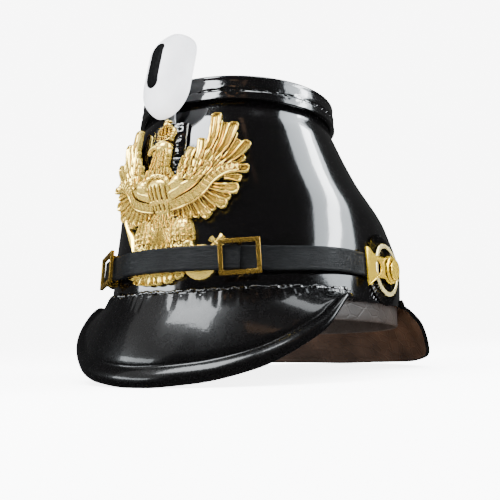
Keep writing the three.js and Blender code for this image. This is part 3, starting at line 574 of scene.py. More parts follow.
def brim_section(brim, share):
    """The section at one station, as (out, up) points; the first ones run down the top."""
    thick = brim["thick"]
    reach, drop, seam = (between(brim["rows"], abs(share), c) for c in (1, 2, 3))
    top = seam * brim["seam"]
    start = Vector((GAP + thick / 2, top - brim["flange"] + thick / 2))
    edge = Vector((max(reach * brim["reach"], start.x + thick * 0.4),
                   min(-drop * brim["drop"], start.y - thick * 0.8)))
    pull = Vector((mix(start.x, edge.x, 0.62), mix(start.y, edge.y, 0.38)))

    def at(t):
        return start * (1 - t) ** 2 + pull * 2 * t * (1 - t) + edge * t * t

    def run(t):
        return (2 * (1 - t) * (pull - start) + 2 * t * (edge - pull)).normalized()

    length = sum((at((i + 1) / 20) - at(i / 20)).length for i in range(20))
    roll = min(brim["roll"], length * 0.35)
    high = brim["high"] * roll / brim["roll"]

    def offset(t, lift):
        d = run(t)
        return at(t) + Vector((-d.y, d.x)) * lift

    def swell(back):
        x = back / roll
        hump = cos(min(abs(x - 0.5) / 0.62, 1.0) * pi / 2) ** 1.4
        return high * (hump - 0.42 * bump(x, 1.16, 0.13))

    points = [Vector((GAP, top)), Vector((GAP + thick * 0.5, top + 0.1)),
              Vector((GAP + thick * 0.9, top - thick * 0.15)),
              Vector((GAP + thick, top - thick * 0.6))]
    shares = [mix(0.14, 1 - 1.35 * roll / length, i / 9) for i in range(10)]
    shares += [1 - b * roll / length for b in
               (1.26, 1.16, 1.06, 0.96, 0.84, 0.7, 0.56, 0.42, 0.3, 0.2)]
    points += [offset(t, thick / 2 + swell((1 - t) * length)) for t in shares]
    edge_round = thick / 2 + high * 0.45
    centre = offset(1 - edge_round / length, 0)
    points += [centre + Matrix.Rotation(radians(a), 2) @ run(1) * edge_round
               for a in spread(7, 60, -90)]
    points += [offset(t, -thick / 2 - 0.25 * high * smooth(t, 1 - roll / length, 1))
               for t in spread(9, 1 - 1.1 * roll / length, 0.12)]
    points.append(Vector((GAP, start.y)))
    return points

# %% The lacquered seam
def brim_turn(brim, share):
    return radians(brim["centre"] + share * brim["half"])


def brim_mesh(brim, stations, lumpy):
    sections = {}

    def place(k, share):
        if share not in sections:
            sections[share] = brim_section(brim, share)
        out, up = sections[share][k]
        turn = brim_turn(brim, share)
        top = sections[share][0].y
        p = wall_point(turn, 0, out) + Vector((0, 0, up))
        lump = 0.0
        if k < SEAM_CORNERS:
            lump = lumpy * smooth(up, top - 6.5, top - 3.6) * (0.75 * lumps(p, 2.4, 3.0)
                                                               + 0.5 * lumps(p, 5.5, 9.0))
        return wall_point(turn, 0, max(out + lump, GAP)) + Vector((0, 0, up + 0.5 * lump))

    return sweep(len(brim_section(brim, 0.0)), spread(stations, -1, 1), place)


def two_faced(bm):
    """Marks the faces that look inwards, so that they take the second finish."""
    corner = bm.verts.layers.int.get("corner")
    for face in bm.faces:
        if len(face.verts) == 4 and min(v[corner] for v in face.verts) >= INNER_CORNER:
            face.material_index = 1


peak_bm = brim_mesh(PEAK, 260, 0.9)
finish_piece("peak_leather", peak_bm, peak_lacquer, ["peak"], 55)
guard_bm = brim_mesh(GUARD, 200, 0.7)
two_faced(guard_bm)
finish_piece("neck_guard_leather", guard_bm, [peak_lacquer, guard_lining], ["neck_guard"],
             55)

# %% [markdown]
# Where the peak meets the shell, the sewing thread and the edge of the flange are
# buried in lacquer. The bead along it is a thin tube whose thickness and height
# wander, with stitches showing through.

# %% Seam beads
def seam_bead(name, brim, radius, stations):
    def place(k, share):
        turn = brim_turn(brim, share * 0.985)
        top = between(brim["rows"], abs(share), 3) * brim["seam"]
        spine = wall_point(turn, max(top, 0), 1.2)
        thick = radius * (1 + 0.6 * lumps(spine, 4.0, 2.0) + 0.6 * lumps(spine, 1.7, 7.0))
        a = around(10, k)
        up = top + 0.5 * lumps(spine, 9.0) + thick * sin(a)
        return wall_point(turn, max(up, 0), max(0.9 + 0.9 * thick * cos(a), 0.05)) \
            + Vector((0, 0, min(up, 0)))

    finish_piece(name, sweep(10, spread(stations, -1, 1), place), seam_lacquer,
                 angle=80)


seam_bead("peak_seam_bead", PEAK, 1.5, 420)
seam_bead("guard_seam_bead", GUARD, 1.1, 360)


def seam_up(brim):
    def up(turn):
        share = (degrees(turn) - brim["centre"]) / brim["half"]
        return between(brim["rows"], abs(share), 3) * brim["seam"] - 2.6
    return up


for name, brim, count in (("peak_stitches", PEAK, 38), ("guard_stitches", GUARD, 40)):
    turns = [brim_turn(brim, share) for share in spread(count, -0.96, 0.96)]
    stitch_row(name, turns, seam_up(brim), GAP + 2.3, 0.45, 0.5)

# %% [markdown]
# The chin strap lies round the front in two overlapping halves. Each is a flat
# strip with rounded, slightly raised edges. A short table lifts it towards the
# side cockades, and one end steps up over the other half.

# %% Chin strap
STRAP_WIDTH, STRAP_THICK, STRAP_UP, STRAP_LIFT = 14.0, 2.0, 21.0, 1.9
STRAP_OUT, STRAP_END_OUT, RIGHT_DROP, STRAP_ROUND = 5.5, 1.2, 3.3, 0.55
STRAP_ROWS = [(0, 0, 1), (0.5, 0.1, 1.05), (0.72, 0.7, 1.1), (0.86, 1, 0.5),
              (0.95, 0.82, 0.04), (1, 0.55, 0)]
COCKADE_TURN, COCKADE_UP = radians(88), 21.5
RING_RADIUS, RING_WIDTH, RING_THICK = 17.0, 3.5, 1.0
STRAP_FROM_BOSS = 23.2
STRAP_END = COCKADE_TURN - STRAP_FROM_BOSS / oval_at(COCKADE_UP)[1]
BUCKLE_TURN = radians(29)
INNER_END = -BUCKLE_TURN - radians(7)


def strap_out(turn):
    """How far the strap stands off; past the eagle it lies closer on the wearer's right."""
    out = mix(STRAP_END_OUT, STRAP_OUT, between(STRAP_ROWS, abs(turn) / STRAP_END, 2))
    towards = smooth(-turn, radians(8), BUCKLE_TURN - radians(7))
    away = smooth(-turn, STRAP_END - radians(28), STRAP_END - radians(12))
    return out - RIGHT_DROP * towards * (1 - away)


def strap_up(turn):
    return STRAP_UP + STRAP_LIFT * between(STRAP_ROWS, abs(turn) / STRAP_END, 1)


def outer_rise(turn):
    start = INNER_END - radians(9)
    return (STRAP_THICK + GAP) * smooth(turn, start, INNER_END - radians(1))


def strap_section():
    r, side, face = STRAP_ROUND, STRAP_WIDTH / 2 - STRAP_ROUND, STRAP_THICK - STRAP_ROUND

    def rounded(x, y, low):
        return [(x + r * cos(radians(a)), y + r * sin(radians(a)))
                for a in spread(4, low, low - 90)]

    back = [(0.0, y) for y in spread(7, -side, side)]
    front = [(STRAP_THICK + 0.12 * bump(abs(y), STRAP_WIDTH / 2 - 1.3, 0.45), y)
             for y in (5.9, 5.6, 5.2, 4.6, 2.5, 0, -2.5, -4.6, -5.2, -5.6, -5.9)]
    return (back + rounded(r, side, 180)[1:] + rounded(face, side, 90)[1:] + front
            + rounded(face, -side, 0) + rounded(r, -side, -90)[:-1])


STRAP_POINTS = strap_section()


def strap_mesh(start, end, rise):
    def place(k, turn):
        out, up = STRAP_POINTS[k]
        wobble = 0.12 * noise.noise(Vector((turn * 14, up / 9, 0)))
        return wall_point(turn, strap_up(turn) + up, strap_out(turn) + rise(turn) + out + wobble)

    return sweep(len(STRAP_POINTS), spread(120, start, end), place)


finish_piece("chin_strap_left", strap_mesh(STRAP_END, INNER_END, lambda t: 0.0), strap_leather,
             ["strap_left"], 50)
finish_piece("chin_strap_right", strap_mesh(-STRAP_END, BUCKLE_TURN, outer_rise), strap_leather,
             ["strap_right"], 50)

# %% [markdown]
# The buckles, lugs and prong already have their true shape in the packed
# model. A copy of such a node is merged, its flat faces are joined, and a small
# bevel is put on its edges, as a file and a polishing wheel would.

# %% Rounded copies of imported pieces
FLAT_UNDER, SHARP_OVER = radians(12), radians(30)


def rounded_copy(node, name, material, width, segments=3):
    bm = bmesh.new()
    bm.from_mesh(nodes[node].data)
    bmesh.ops.remove_doubles(bm, verts=bm.verts, dist=0.00001)
    bmesh.ops.dissolve_limit(bm, angle_limit=FLAT_UNDER, verts=bm.verts, edges=bm.edges)
    edges = [e for e in bm.edges if e.is_manifold and e.calc_face_angle() > SHARP_OVER]
    bmesh.ops.bevel(bm, geom=edges, offset=width * MM, segments=segments, profile=0.5,
                    affect="EDGES", material=-1, clamp_overlap=True)
    finish_piece(name, bm, material, [node], 35, place=Matrix.Identity(4))


for side in ("left", "right"):
    rounded_copy(f"buckle_{side}", f"brass_buckle_{side}", buckle_brass, 0.75, 2)
    rounded_copy(f"strap_lug_{side}", f"brass_lug_{side}", fitting_brass, 0.3)
rounded_copy("badge_prong", "steel_prong", sheet_steel, 0.4)

# %% [markdown]
# Each side has a cockade: a rosette of pleated black leather, a flat ring of pale
# metal on it, and a stepped brass boss that holds the lug of the strap. The pleats
# are ridges that run from the middle to pointed teeth at the edge.

# %% Cockades
COCKADE_RADIUS, TOOTH, PLEATS, COCKADE_THICK = 22.5, 2.2, 46, 2.0
PLEAT_DEPTH, EDGE_DROP = 1.25, 0.45
DISC_OUT = GAP
RING_OUT = DISC_OUT + COCKADE_THICK + GAP
LUG_OUT = max(STRAP_END_OUT + STRAP_THICK, RING_OUT + RING_THICK) + GAP
BOSS_OUT = LUG_OUT + 1.2 + GAP
STEM_RADIUS = 2.4


def on_cockade(side, radius, angle, proud):
    return bent_point(side * COCKADE_TURN, side * radius * cos(angle),
                      COCKADE_UP + radius * sin(angle), proud)


def pleated(side):
    count = PLEATS * 6
    hole = STEM_RADIUS + GAP
    steps = [(r, 1) for r in spread(12, 0, 1)] + [(r, 0) for r in (1, 0.6, 0)]

    def place(k, s):
        share, top = s
        angle = around(count, k)
        ridge = 1 - abs(cos(PLEATS * angle / 2))
        edge = COCKADE_RADIUS - TOOTH * (1 - ridge)
        radius = mix(hole, edge, share)
        deep = PLEAT_DEPTH * smooth(share, 0.15, 0.5) * (1 - ridge)
        high = DISC_OUT + COCKADE_THICK - deep - EDGE_DROP * smooth(share, 0.8, 1)
        proud = high if top else DISC_OUT
        return on_cockade(side, radius, angle, proud)

    return sweep(count, steps, place, wrap=True)


def ring_mesh(side):
    steps = []
    for a in spread(13, 0, 2 * pi)[:-1]:
        across = 0.8 * RING_WIDTH / 2 * (abs(cos(a)) ** 0.5) * copysign(1, cos(a))
        high = RING_THICK / 2 * (abs(sin(a)) ** 0.7) * copysign(1, sin(a))
        steps.append((RING_RADIUS - RING_WIDTH / 2 + across, RING_OUT + RING_THICK / 2 + high))

    return sweep(72, steps, lambda k, s: on_cockade(side, s[0], around(72, k), s[1]), wrap=True)

# %% Bosses
BOSS_RADIUS, BOSS_HEIGHT = 8.5, 3.1
BOSS_ROWS = [(0.0, 1.0), (0.12, 1.0), (0.2, 0.97), (0.27, 0.88), (0.33, 0.68), (0.42, 0.58),
             (0.5, 0.6), (0.56, 0.7), (0.64, 0.75), (0.78, 0.75), (0.86, 0.68), (0.88, 0.56),
             (0.84, 0.44), (0.86, 0.3), (0.95, 0.16), (0.99, 0.05)]


def boss_mesh(side):
    foot = wall_point(side * COCKADE_TURN, COCKADE_UP, 0)
    out = wall_point(side * COCKADE_TURN, COCKADE_UP, 1) - foot
    turn = Vector((0, 0, 1)).rotation_difference(out)
    steps = [(GAP, 0.28), (BOSS_OUT, 0.28)]
    steps += [(BOSS_OUT + up * BOSS_HEIGHT, share) for up, share in BOSS_ROWS]

    def place(k, s):
        along, share = s
        angle = around(64, k)
        waist = bump(share, 0.6, 0.09) if share > 0.3 else 0.0
        radius = BOSS_RADIUS * (share + 0.05 * waist * cos(9 * angle))
        petals = 0.22 * sin(6 * angle + 9 * share) * smooth(share, 0.2, 0.4)
        high = petals * smooth(0.62 - share, 0, 0.1) if along > BOSS_OUT + 0.7 * BOSS_HEIGHT else 0
        p = Vector((radius * cos(angle), radius * sin(angle), along + high))
        p.rotate(turn)
        return foot + p

    return sweep(64, steps, place)


for name, side in (("left", 1), ("right", -1)):
    finish_piece(f"cockade_rosette_{name}", pleated(side), cockade_leather, [f"cockade_{name}"],
                 30)
    finish_piece(f"cockade_pale_ring_{name}", ring_mesh(side), pale_brass,
                 [f"cockade_ring_{name}"], 60)
    finish_piece(f"brass_boss_{name}", boss_mesh(side), fitting_brass, [f"boss_{name}"],
                 50)

# %% [markdown]
# The pocket that takes the badge's prong is a sleeve of thin lacquered leather. It
# has crumpled while the lacquer was soft, so its wrinkles are modelled, and the
# gloss breaks up on them.

# %% Badge pocket
POCKET_WIDTH, POCKET_FOOT, POCKET_TOP, POCKET_DEPTH, POCKET_WALL = 25.0, 69.0, 106.0, 5.8, 1.8


def pocket_section():
    half = POCKET_WIDTH / 2
    angles = spread(26, 0, pi)

    def arch(inset):
        return [((half - inset) * cos(a),
                 GAP + (POCKET_DEPTH - inset) * max(sin(a), 0) ** 0.6, inset) for a in angles]

    return arch(0) + arch(POCKET_WALL)[::-1]


POCKET_POINTS = pocket_section()


def pocket_point(k, up):
    across, proud, inset = POCKET_POINTS[k]
    p = Vector((across, proud, up))
    crumple = 0.0
    if inset == 0 and proud > 1.5:
        crumple = (0.6 * noise.noise(Vector((across / 1.7, up / 3.4, 1.0)))
                   + 0.5 * noise.noise(Vector((across / 0.8, up / 1.5, 4.0))))
    return bent_point(0, across, up, max(proud + crumple, GAP))


pocket = sweep(len(POCKET_POINTS), spread(70, POCKET_FOOT, POCKET_TOP), pocket_point)
finish_piece("pocket_leather", pocket, seam_lacquer, ["badge_pocket"], 70)

# %% [markdown]
# The field badge is an oval dome on a narrow rim, finished in pearl white, with a
# long black inlay. It leans back over the crown. Its sections are ovals with
# straight sides that shrink towards the top of the dome.

# %% Field badge
BADGE_LENGTH, BADGE_WIDTH, BADGE_RIM, BADGE_DOME = 57.8, 33.8, 2.4, 14.5
INLAY_LENGTH, INLAY_WIDTH, NUDGE = 31.2, 8.8, 0.001
BADGE_UP, BADGE_STANDOFF, BADGE_LEAN, BADGE_TURN = 137.8, 4.8, 12.3, -6.5
BADGE_PLACE = (Matrix.Translation(wall_point(0, SHELL_HEIGHT, GAP + CAP_WALL + BADGE_STANDOFF)
                                  + Vector((0, 0, BADGE_UP - SHELL_HEIGHT)))
               @ Matrix.Rotation(radians(BADGE_TURN), 4, "Z")
               @ Matrix.Rotation(radians(90 - BADGE_LEAN), 4, "X"))


def oval_point(angle, width, length):
    """A point on an oval with straight sides; equal angles are equal steps along its edge."""
    spine, r = max((length - width) / 2, 0), width / 2
    arc = pi * r
    at = (angle / (2 * pi)) % 1 * 2 * (2 * spine + arc)
    if at < spine:
        return Vector((r, at, 0))
    if at < spine + arc:
        a = (at - spine) / r
        return Vector((r * cos(a), spine + r * sin(a), 0))
    if at < 3 * spine + arc:
        return Vector((-r, 2 * spine + arc - at, 0))
    if at < 3 * spine + 2 * arc:
        a = pi + (at - 3 * spine - arc) / r
        return Vector((r * cos(a), r * sin(a) - spine, 0))
    return Vector((r, at - 4 * spine - 2 * arc, 0))


CREASE_SIZE, CREASE_HIGH = 0.9, 8.6


def badge_spine(size):
    """Length of the straight sides, where the badge has shrunk to size."""
    return (BADGE_LENGTH - BADGE_WIDTH) * (0.45 + 0.55 * size)


def dome_rise(size):
    """Height of the face over the crease, where the face has shrunk to size."""
    share = min(size / CREASE_SIZE, 1.0)
    return CREASE_HIGH + (BADGE_RIM + BADGE_DOME - CREASE_HIGH) * (1 - share**2.2)


def dome_mesh():
    steps = [(0.985, 0.0), (1.0, 0.25), (1.0, BADGE_RIM - 0.3), (0.996, BADGE_RIM),
             (0.988, 3.6), (0.972, 4.9), (0.953, 6.2), (0.93, 7.4), (0.91, 8.25)]
    steps += [(size, dome_rise(size)) for size in spread(7, 0.895, 0.83)]
    steps += [(size, dome_rise(size)) for size in spread(26, 0.81, 0.02)]

    def place(k, s):
        size, high = s
        width = BADGE_WIDTH * size
        p = oval_point(around(96, k) + NUDGE, width, width + badge_spine(size))
        return p + Vector((0, 0, high))

    return sweep(96, steps, place)


finish_piece("badge_dome", dome_mesh(), pearl_white, ["field_badge"], 30,
             place=TO_REST @ BADGE_PLACE)


def dome_high(x, y):
    """Height of the face over one of its points; its oval is found by halving."""
    low, high = 0.02, CREASE_SIZE
    for _ in range(24):
        size = (low + high) / 2
        out = hypot(x, max(abs(y) - badge_spine(size) / 2, 0)) - BADGE_WIDTH * size / 2
        low, high = (size, high) if out > 0 else (low, size)
    return dome_rise(low)


def inlay_mesh():
    steps = [(1.04, -1.2), (1.04, 0.15), (1.0, 0.42), (0.9, 0.5), (0.6, 0.45), (0.3, 0.42),
             (0.05, 0.42)]

    def place(k, s):
        size, proud = s
        width = INLAY_WIDTH * size
        p = oval_point(around(64, k) + NUDGE, width, INLAY_LENGTH - INLAY_WIDTH + width)
        return p + Vector((0, 0, dome_high(p.x, p.y) + proud))

    return sweep(64, steps, place)


finish_piece("black_inlay", inlay_mesh(), inlay_black, ["badge_inlay"], 40,
             place=TO_REST @ BADGE_PLACE)

# %% [markdown]
# The eagle is a thick brass plate in relief, chased by hand. It is built flat, in
# millimetres across and up from the rim, from raised patches that overlap as the
# feathers do, and then bent round the shell. A feather has a round tip, a bead
# along its edge, a hollow inside the bead and a quill down its middle.

# %% Routes for feathers and bands
def route_point(points, t):
    """Smooth curve through a few points, with its direction."""
    n = len(points) - 1
    x = min(max(t, 0.0), 1.0) * n
    i = min(int(x), n - 1)
    f = x - i
    p0, p1, p2, p3 = (Vector(points[min(max(j, 0), n)]) for j in (i - 1, i, i + 1, i + 2))
    at = 0.5 * (2 * p1 + (p2 - p0) * f + (2 * p0 - 5 * p1 + 4 * p2 - p3) * f * f
                + (3 * p1 - p0 - 3 * p2 + p3) * f**3)
    run = 0.5 * ((p2 - p0) + 2 * (2 * p0 - 5 * p1 + 4 * p2 - p3) * f
                 + 3 * (3 * p1 - p0 - 3 * p2 + p3) * f * f)
    return at, run.normalized()


def route_length(points):
    steps = [route_point(points, i / 24)[0] for i in range(25)]
    return sum((b - a).length for a, b in zip(steps, steps[1:]))


PLATE, FEATHER_BEAD, FEATHER_HOLLOW, QUILL_WIDTH = 1.2, 1.05, 0.22, 0.45


def round_bar(v):
    return sqrt(max(1 - v * v, 0))


def waves(count, s):
    return cos(2 * pi * count * s)


def feather(bm, root, tip, half, bend, lift, side=1, high=1.5, neck=0.62, quill=0.5,
            along=20, across=16):
    root, tip = Vector(root), Vector(tip)
    run = (tip - root).normalized()
    middle = root.lerp(tip, 0.55) + Vector((run.y, -run.x)) * bend
    route = [(side * p.x, p.y) for p in (root, middle, tip)]
    length = route_length(route)
    bead = min(FEATHER_BEAD, half * 0.45)

    def place(s, v):
        s = 1 - (1 - s) ** 1.7
        v = copysign(1 - (1 - abs(v)) ** 1.5, v)
        back = (1 - s) * length
        full = half * mix(neck, 1.0, smooth(s, 0.1, 0.8))
        wide = full
        if back < half:
            wide = full * sqrt(max(1 - (1 - back / half) ** 2, 0.0004))
        at, d = route_point(route, s)
        x, y = at.x - d.y * wide * v * side, at.y + d.x * wide * v * side
        off = wide * abs(v)
        inside = full - (hypot(half - back, off) if back < half else off)
        floor = (FEATHER_HOLLOW * smooth(inside, 0, bead)
                 + quill * bump(off, 0, QUILL_WIDTH) * smooth(back, 0.3 * half, 1.3 * half))
        rim = 0.25 + 0.75 * round_bar(2 * inside / bead - 1) if inside < bead else 0
        return Vector((x, y, PLATE + lift + high * max(rim, floor)))

    raised_patch(bm, along, across, place, lift * 0.4)


def band(bm, points, half, lift, high, profile, side=1, along=60, across=16, taper=None):
    """A strip along a route; profile(v, s) gives its relief from 0 to 1."""
    route = [(side * x, y) for x, y in points]

    def place(s, v):
        at, d = route_point(route, s)
        wide = half * (taper(s) if taper else 1.0)
        return Vector((at.x - d.y * wide * v * side, at.y + d.x * wide * v * side,
                       PLATE + lift + high * profile(v, s)))

    raised_patch(bm, along, across, place)


def oval(bm, x, y, half_width, half_height, lift, relief, steps, turn=0.0):
    """An oval patch; relief(u, w) takes shares of its half sizes."""
    def place(s, v):
        a, b = s * 2 - 1, v
        u = a * sqrt(1 - b * b / 2)
        w = b * sqrt(1 - a * a / 2)
        p = Matrix.Rotation(turn, 2) @ Vector((u * half_width, w * half_height))
        return Vector((x + p.x, y + p.y, PLATE + lift + relief(u, w)))

    raised_patch(bm, steps, steps, place)


def dome_of(high):
    return lambda u, w: high * sqrt(max(1 - (u * u + w * w) * 0.98, 0))

# %% [markdown]
# The tables hold the feathers of a wing: root, tip, half width, bend and lift.
# There are long feathers, short ones between them, a row under the ribbon, and
# small coverts at the shoulder. The other wing is its mirror image.

# %% Wings
LONG_FEATHERS = [((21, 74), (29.2, 110.6), 2.9, 3.2, 0.8),
                 ((26, 74), (40, 103.4), 2.9, 2.6, 0.9),
                 ((31, 73), (48.6, 90.8), 2.7, 1.6, 1.0),
                 ((36, 71.5), (50, 74.2), 2.5, -0.6, 1.1)]
BETWEEN_FEATHERS = [((24, 76), (34.8, 104), 2.3, 3.0, 0.0),
                    ((22.5, 78), (31.5, 106), 1.7, 3.0, -0.2),
                    ((30, 75), (43.4, 92.4), 2.3, 1.8, 0.1),
                    ((28, 76), (41.2, 97), 1.7, 2.2, -0.1),
                    ((34, 73), (47, 82), 2.2, 0.8, 0.2),
                    ((32, 74), (45.6, 86), 1.7, 1.2, 0.0),
                    ((37, 69.5), (46.4, 68), 2.4, -0.4, 0.3)]
LOWER_FEATHERS = [((29, 64.5), (45.2, 62.2), 3.2, 0.6, 0.5),
                  ((29, 62), (41, 57.4), 2.2, 0.6, 0.1),
                  ((26, 60.5), (39, 52.8), 3.1, 0.8, 0.5),
                  ((25, 58.5), (32.4, 50.4), 2.1, 0.5, 0.1),
                  ((20.5, 58.5), (29.4, 46.2), 3.0, 0.8, 0.5),
                  ((18, 56.5), (23, 46.4), 2.2, 0.4, 0.1),
                  ((14, 56.5), (17.8, 45.8), 2.8, 0.4, 0.5),
                  ((11, 56), (13.2, 47), 2.1, 0.3, 0.1),
                  ((8, 56), (9.4, 48), 2.4, 0.2, 0.4)]
COVERTS = [((17.5, 72), (19.4, 88), 2.2, -1.0, 1.5), ((20, 74), (23.4, 94), 2.4, 1.2, 1.1),
           ((22, 72), (28.6, 87.4), 2.5, 1.2, 1.5), ((25.5, 71), (33.6, 84), 2.4, 1.0, 1.6),
           ((15.6, 70), (16.2, 82), 2.1, -1.0, 1.9), ((19, 70), (22.4, 81), 2.3, 0.8, 2.2),
           ((23, 69.5), (28.6, 79.4), 2.3, 0.8, 2.3), ((28, 70), (35, 79), 2.2, 0.6, 2.0),
           ((14.4, 68), (15.6, 76.5), 2.0, -0.6, 2.6), ((17.6, 68), (20.6, 76), 2.1, 0.4, 2.8),
           ((21.4, 67.5), (26, 75.4), 2.1, 0.5, 2.8)]
RIBBON = [(5.5, 54), (12.5, 55.4), (19.5, 58.2), (25, 62.6), (29, 68.2), (34.4, 72.6),
          (40, 75), (45.6, 74.6)]
ARM = [(7, 60), (13, 62.4), (18.6, 65.8), (24, 70.4), (29, 75.4)]


def ribbon_profile(v, s):
    rib = 0.5 + 0.5 * waves(17, s)
    field = 0.05 + 0.7 * rib * smooth(0.72 - abs(v), 0, 0.12)
    return max(field, 0.95 * bump(abs(v), 0.84, 0.12)) + 0.18 * (1 - v * v)


def wing(bm, side):
    for table, *shape in ((BETWEEN_FEATHERS, 1.6, 0.6), (LONG_FEATHERS, 2.3, 0.56, 0.35),
                          (LOWER_FEATHERS, 2.1, 0.7, 0.45), (COVERTS, 1.6, 0.7, 0.35, 14, 12)):
        for row in table:
            feather(bm, *row, side, *shape)
    band(bm, ARM, 3.3, 0.8, 3.0, lambda v, s: round_bar(v) * (1 - 0.25 * s), side, 30, 18,
         lambda s: 1.0 - 0.55 * smooth(s, 0.35, 1))
    band(bm, RIBBON, 3.1, 2.0, 1.5, ribbon_profile, side, 200, 18,
         lambda s: 0.9 + 0.1 * smooth(s, 0, 0.3) - 0.5 * smooth(s, 0.9, 1))


eagle = bmesh.new()
wing(eagle, 1)
wing(eagle, -1)
print("wing faces:", len(eagle.faces))

# %% [markdown]
# The body: a breast with upright slots under a scalloped collar, a shaggy neck, a
# head in profile with its beak to the wearer's right, and a small arched crown.

# %% Breast, neck, head and crown
BREAST_HIGH, SLOT_DEEP, SLOTS_AT = 5.6, 2.4, (-0.6, -0.3, 0, 0.3, 0.6)
SCALE_HIGH, SCALE_NECK, SCALE_QUILL, SCALE_STEPS = 1.5, 0.85, 0.3, 8


def slotted(u, w):
    slots = sum(bump(u, at, 0.05) for at in SLOTS_AT)
    low = smooth(w, -0.75, -0.6) * smooth(-0.42 - w, -0.1, 0.02)
    high = smooth(w, -0.3, -0.2) * smooth(0.42 - w, 0, 0.12)
    deep = SLOT_DEEP * slots * max(low, high) * smooth(1 - u * u - w * w, 0.05, 0.3)
    return dome_of(BREAST_HIGH)(u, w) - deep


def small_scales(bm, rows, lift_at, half, length):
    """Rows of small feathers, (centre x, y, half spread, count), each over the next."""
    for x, y, spread_half, count in rows:
        for i in range(count):
            share = 0 if count == 1 else i / (count - 1) * 2 - 1
            px = x + share * spread_half
            foot = (px + share * 0.25 * length, y - length)
            feather(bm, (px, y), foot, half, 0, lift_at(px, y), 1, SCALE_HIGH, SCALE_NECK,
                    SCALE_QUILL, SCALE_STEPS, SCALE_STEPS)


oval(eagle, 0, 61, 9.2, 13.2, 0.2, slotted, 60)
band(eagle, [(-8.6, 65.4), (-5.6, 69.8), (0, 71.6), (5.6, 69.8), (8.6, 65.4)], 1.25, 0.4, 5.6,
     lambda v, s: 0.82 * sin(pi * mix(0.08, 0.92, s)) ** 0.5
     + 0.25 * round_bar(v) * (0.7 + 0.3 * waves(7, s)), 1, 80, 10)
small_scales(eagle, [(0, 76, 5.6, 5), (0, 73.6, 7.2, 6)],
             lambda x, y: 3.9 - 0.03 * x * x, 1.6, 4.4)
for side in (1, -1):
    oval(eagle, side * 11.6, 66.6, 4.6, 5.6, 0.6, dome_of(3.9), 18, side * -0.5)
small_scales(eagle, [(0, 50.5, 5.0, 4), (0, 48, 6.5, 5), (0, 45.5, 7.5, 6)],
             lambda x, y: 2.0 - 0.015 * x * x, 1.7, 4.0)
band(eagle, [(0, 66), (0, 76), (0, 84), (-0.5, 89)], 5.9, 0.2, 4.0,
     lambda v, s: round_bar(v), 1, 24, 16, lambda s: mix(1.0, 0.7, smooth(s, 0, 0.7)))
for level, (half_spread, count) in enumerate([(2.3, 3), (2.7, 4), (3.2, 4), (3.8, 5), (4.4, 5)]):
    small_scales(eagle, [(-0.2, 87.5 - 3.1 * level, half_spread, count)],
                 lambda x, y: 3.4 - 0.06 * x * x, 1.3, 4.4)
for x, y, wide, tall, lift, high, steps, lean in (
        (-0.6, 89.8, 4.6, 4.4, 1.2, 4.2, 20, 0), (-2.4, 90.6, 1.0, 0.9, 4.6, 0.9, 8, 0),
        (-1.8, 92.2, 2.3, 0.7, 4.3, 0.7, 8, 0.25)):
    oval(eagle, x, y, wide, tall, lift, dome_of(high), steps, lean)
band(eagle, [(-3.4, 90.2), (-6.0, 90.8), (-8.2, 89.4), (-9.2, 86.6)], 1.8, 1.2, 2.8,
     lambda v, s: round_bar(v), 1, 18, 10, lambda s: 1 - 0.75 * smooth(s, 0.3, 1))
band(eagle, [(-3.6, 87.6), (-5.6, 87.3), (-6.8, 86.3)], 0.9, 1.0, 1.8,
     lambda v, s: round_bar(v), 1, 12, 8, lambda s: 1 - 0.6 * s)
band(eagle, [(-3.9, 95.6), (0, 94.9), (3.9, 95.6)], 1.4, 1.4, 2.6,
     lambda v, s: 0.6 + 0.4 * waves(7, s) * waves(0.25, v) if abs(v) < 0.7 else 0.9, 1, 72, 10)
for lean in (-1, -0.55, 0, 0.55, 1):
    band(eagle, [(3.3 * lean, 96.4), (4.5 * lean, 100.4), (3.4 * lean, 103.6), (0.4 * lean, 104.6)],
         0.85, 1.2, 2.6 - 0.6 * abs(lean),
         lambda v, s: round_bar(v) * (0.75 + 0.25 * waves(6, s)), 1, 36, 8)
for y, wide, tall, lift, high, steps in ((106.4, 1.9, 1.8, 1.4, 2.2, 12),
                                         (109.0, 0.8, 1.6, 1.6, 1.2, 8),
                                         (109.0, 1.8, 0.7, 1.6, 1.2, 8)):
    oval(eagle, -0.2, y, wide, tall, lift, dome_of(high), steps)
print("with body:", len(eagle.faces))

# %% [markdown]
# Below the body come the feathered thighs, the claws and the fan of the tail. The
# claw on the wearer's left holds an orb with a small cross, and the other claw a
# sceptre. Gaps stay open between tail, legs and claws, where the plate is pierced.

# %% Tail, legs, orb and sceptre
TAIL_TIPS = [(-24, 13.4), (-17, 9.2), (-9, 7.8), (-0.8, 7.6), (7.2, 8.2), (14.4, 11)]
for i, tip in enumerate(TAIL_TIPS):
    share = i / (len(TAIL_TIPS) - 1) * 2 - 1
    feather(eagle, (share * 4.2, 43), tip, 4.0, share * 1.4,
            0.3 + 0.5 * (1 - abs(share)), 1, 2.2, 0.3, 0.7, 30, 12)
for i in range(7):
    share = (i / 6) * 2 - 1
    feather(eagle, (share * 3.6, 42), (share * 13, 24 + 3 * abs(share)), 2.0, share * 0.8, 1.3, 1,
            1.2, 0.5, 0.5, 18, 10)
THIGH_ROWS = [(11, 46.5, 4.2, 4), (11.8, 43.6, 5.8, 5), (12.4, 40.4, 6.6, 5), (12.8, 37.2, 6.4, 5),
              (13, 34.2, 5.4, 4)]
CLAWS = [((16, 31), (10.5, 26), 1.3), ((17, 30.5), (14.5, 23.5), 1.4), ((18, 30.5), (19, 23), 1.4),
         ((19, 31), (23.5, 25), 1.3)]
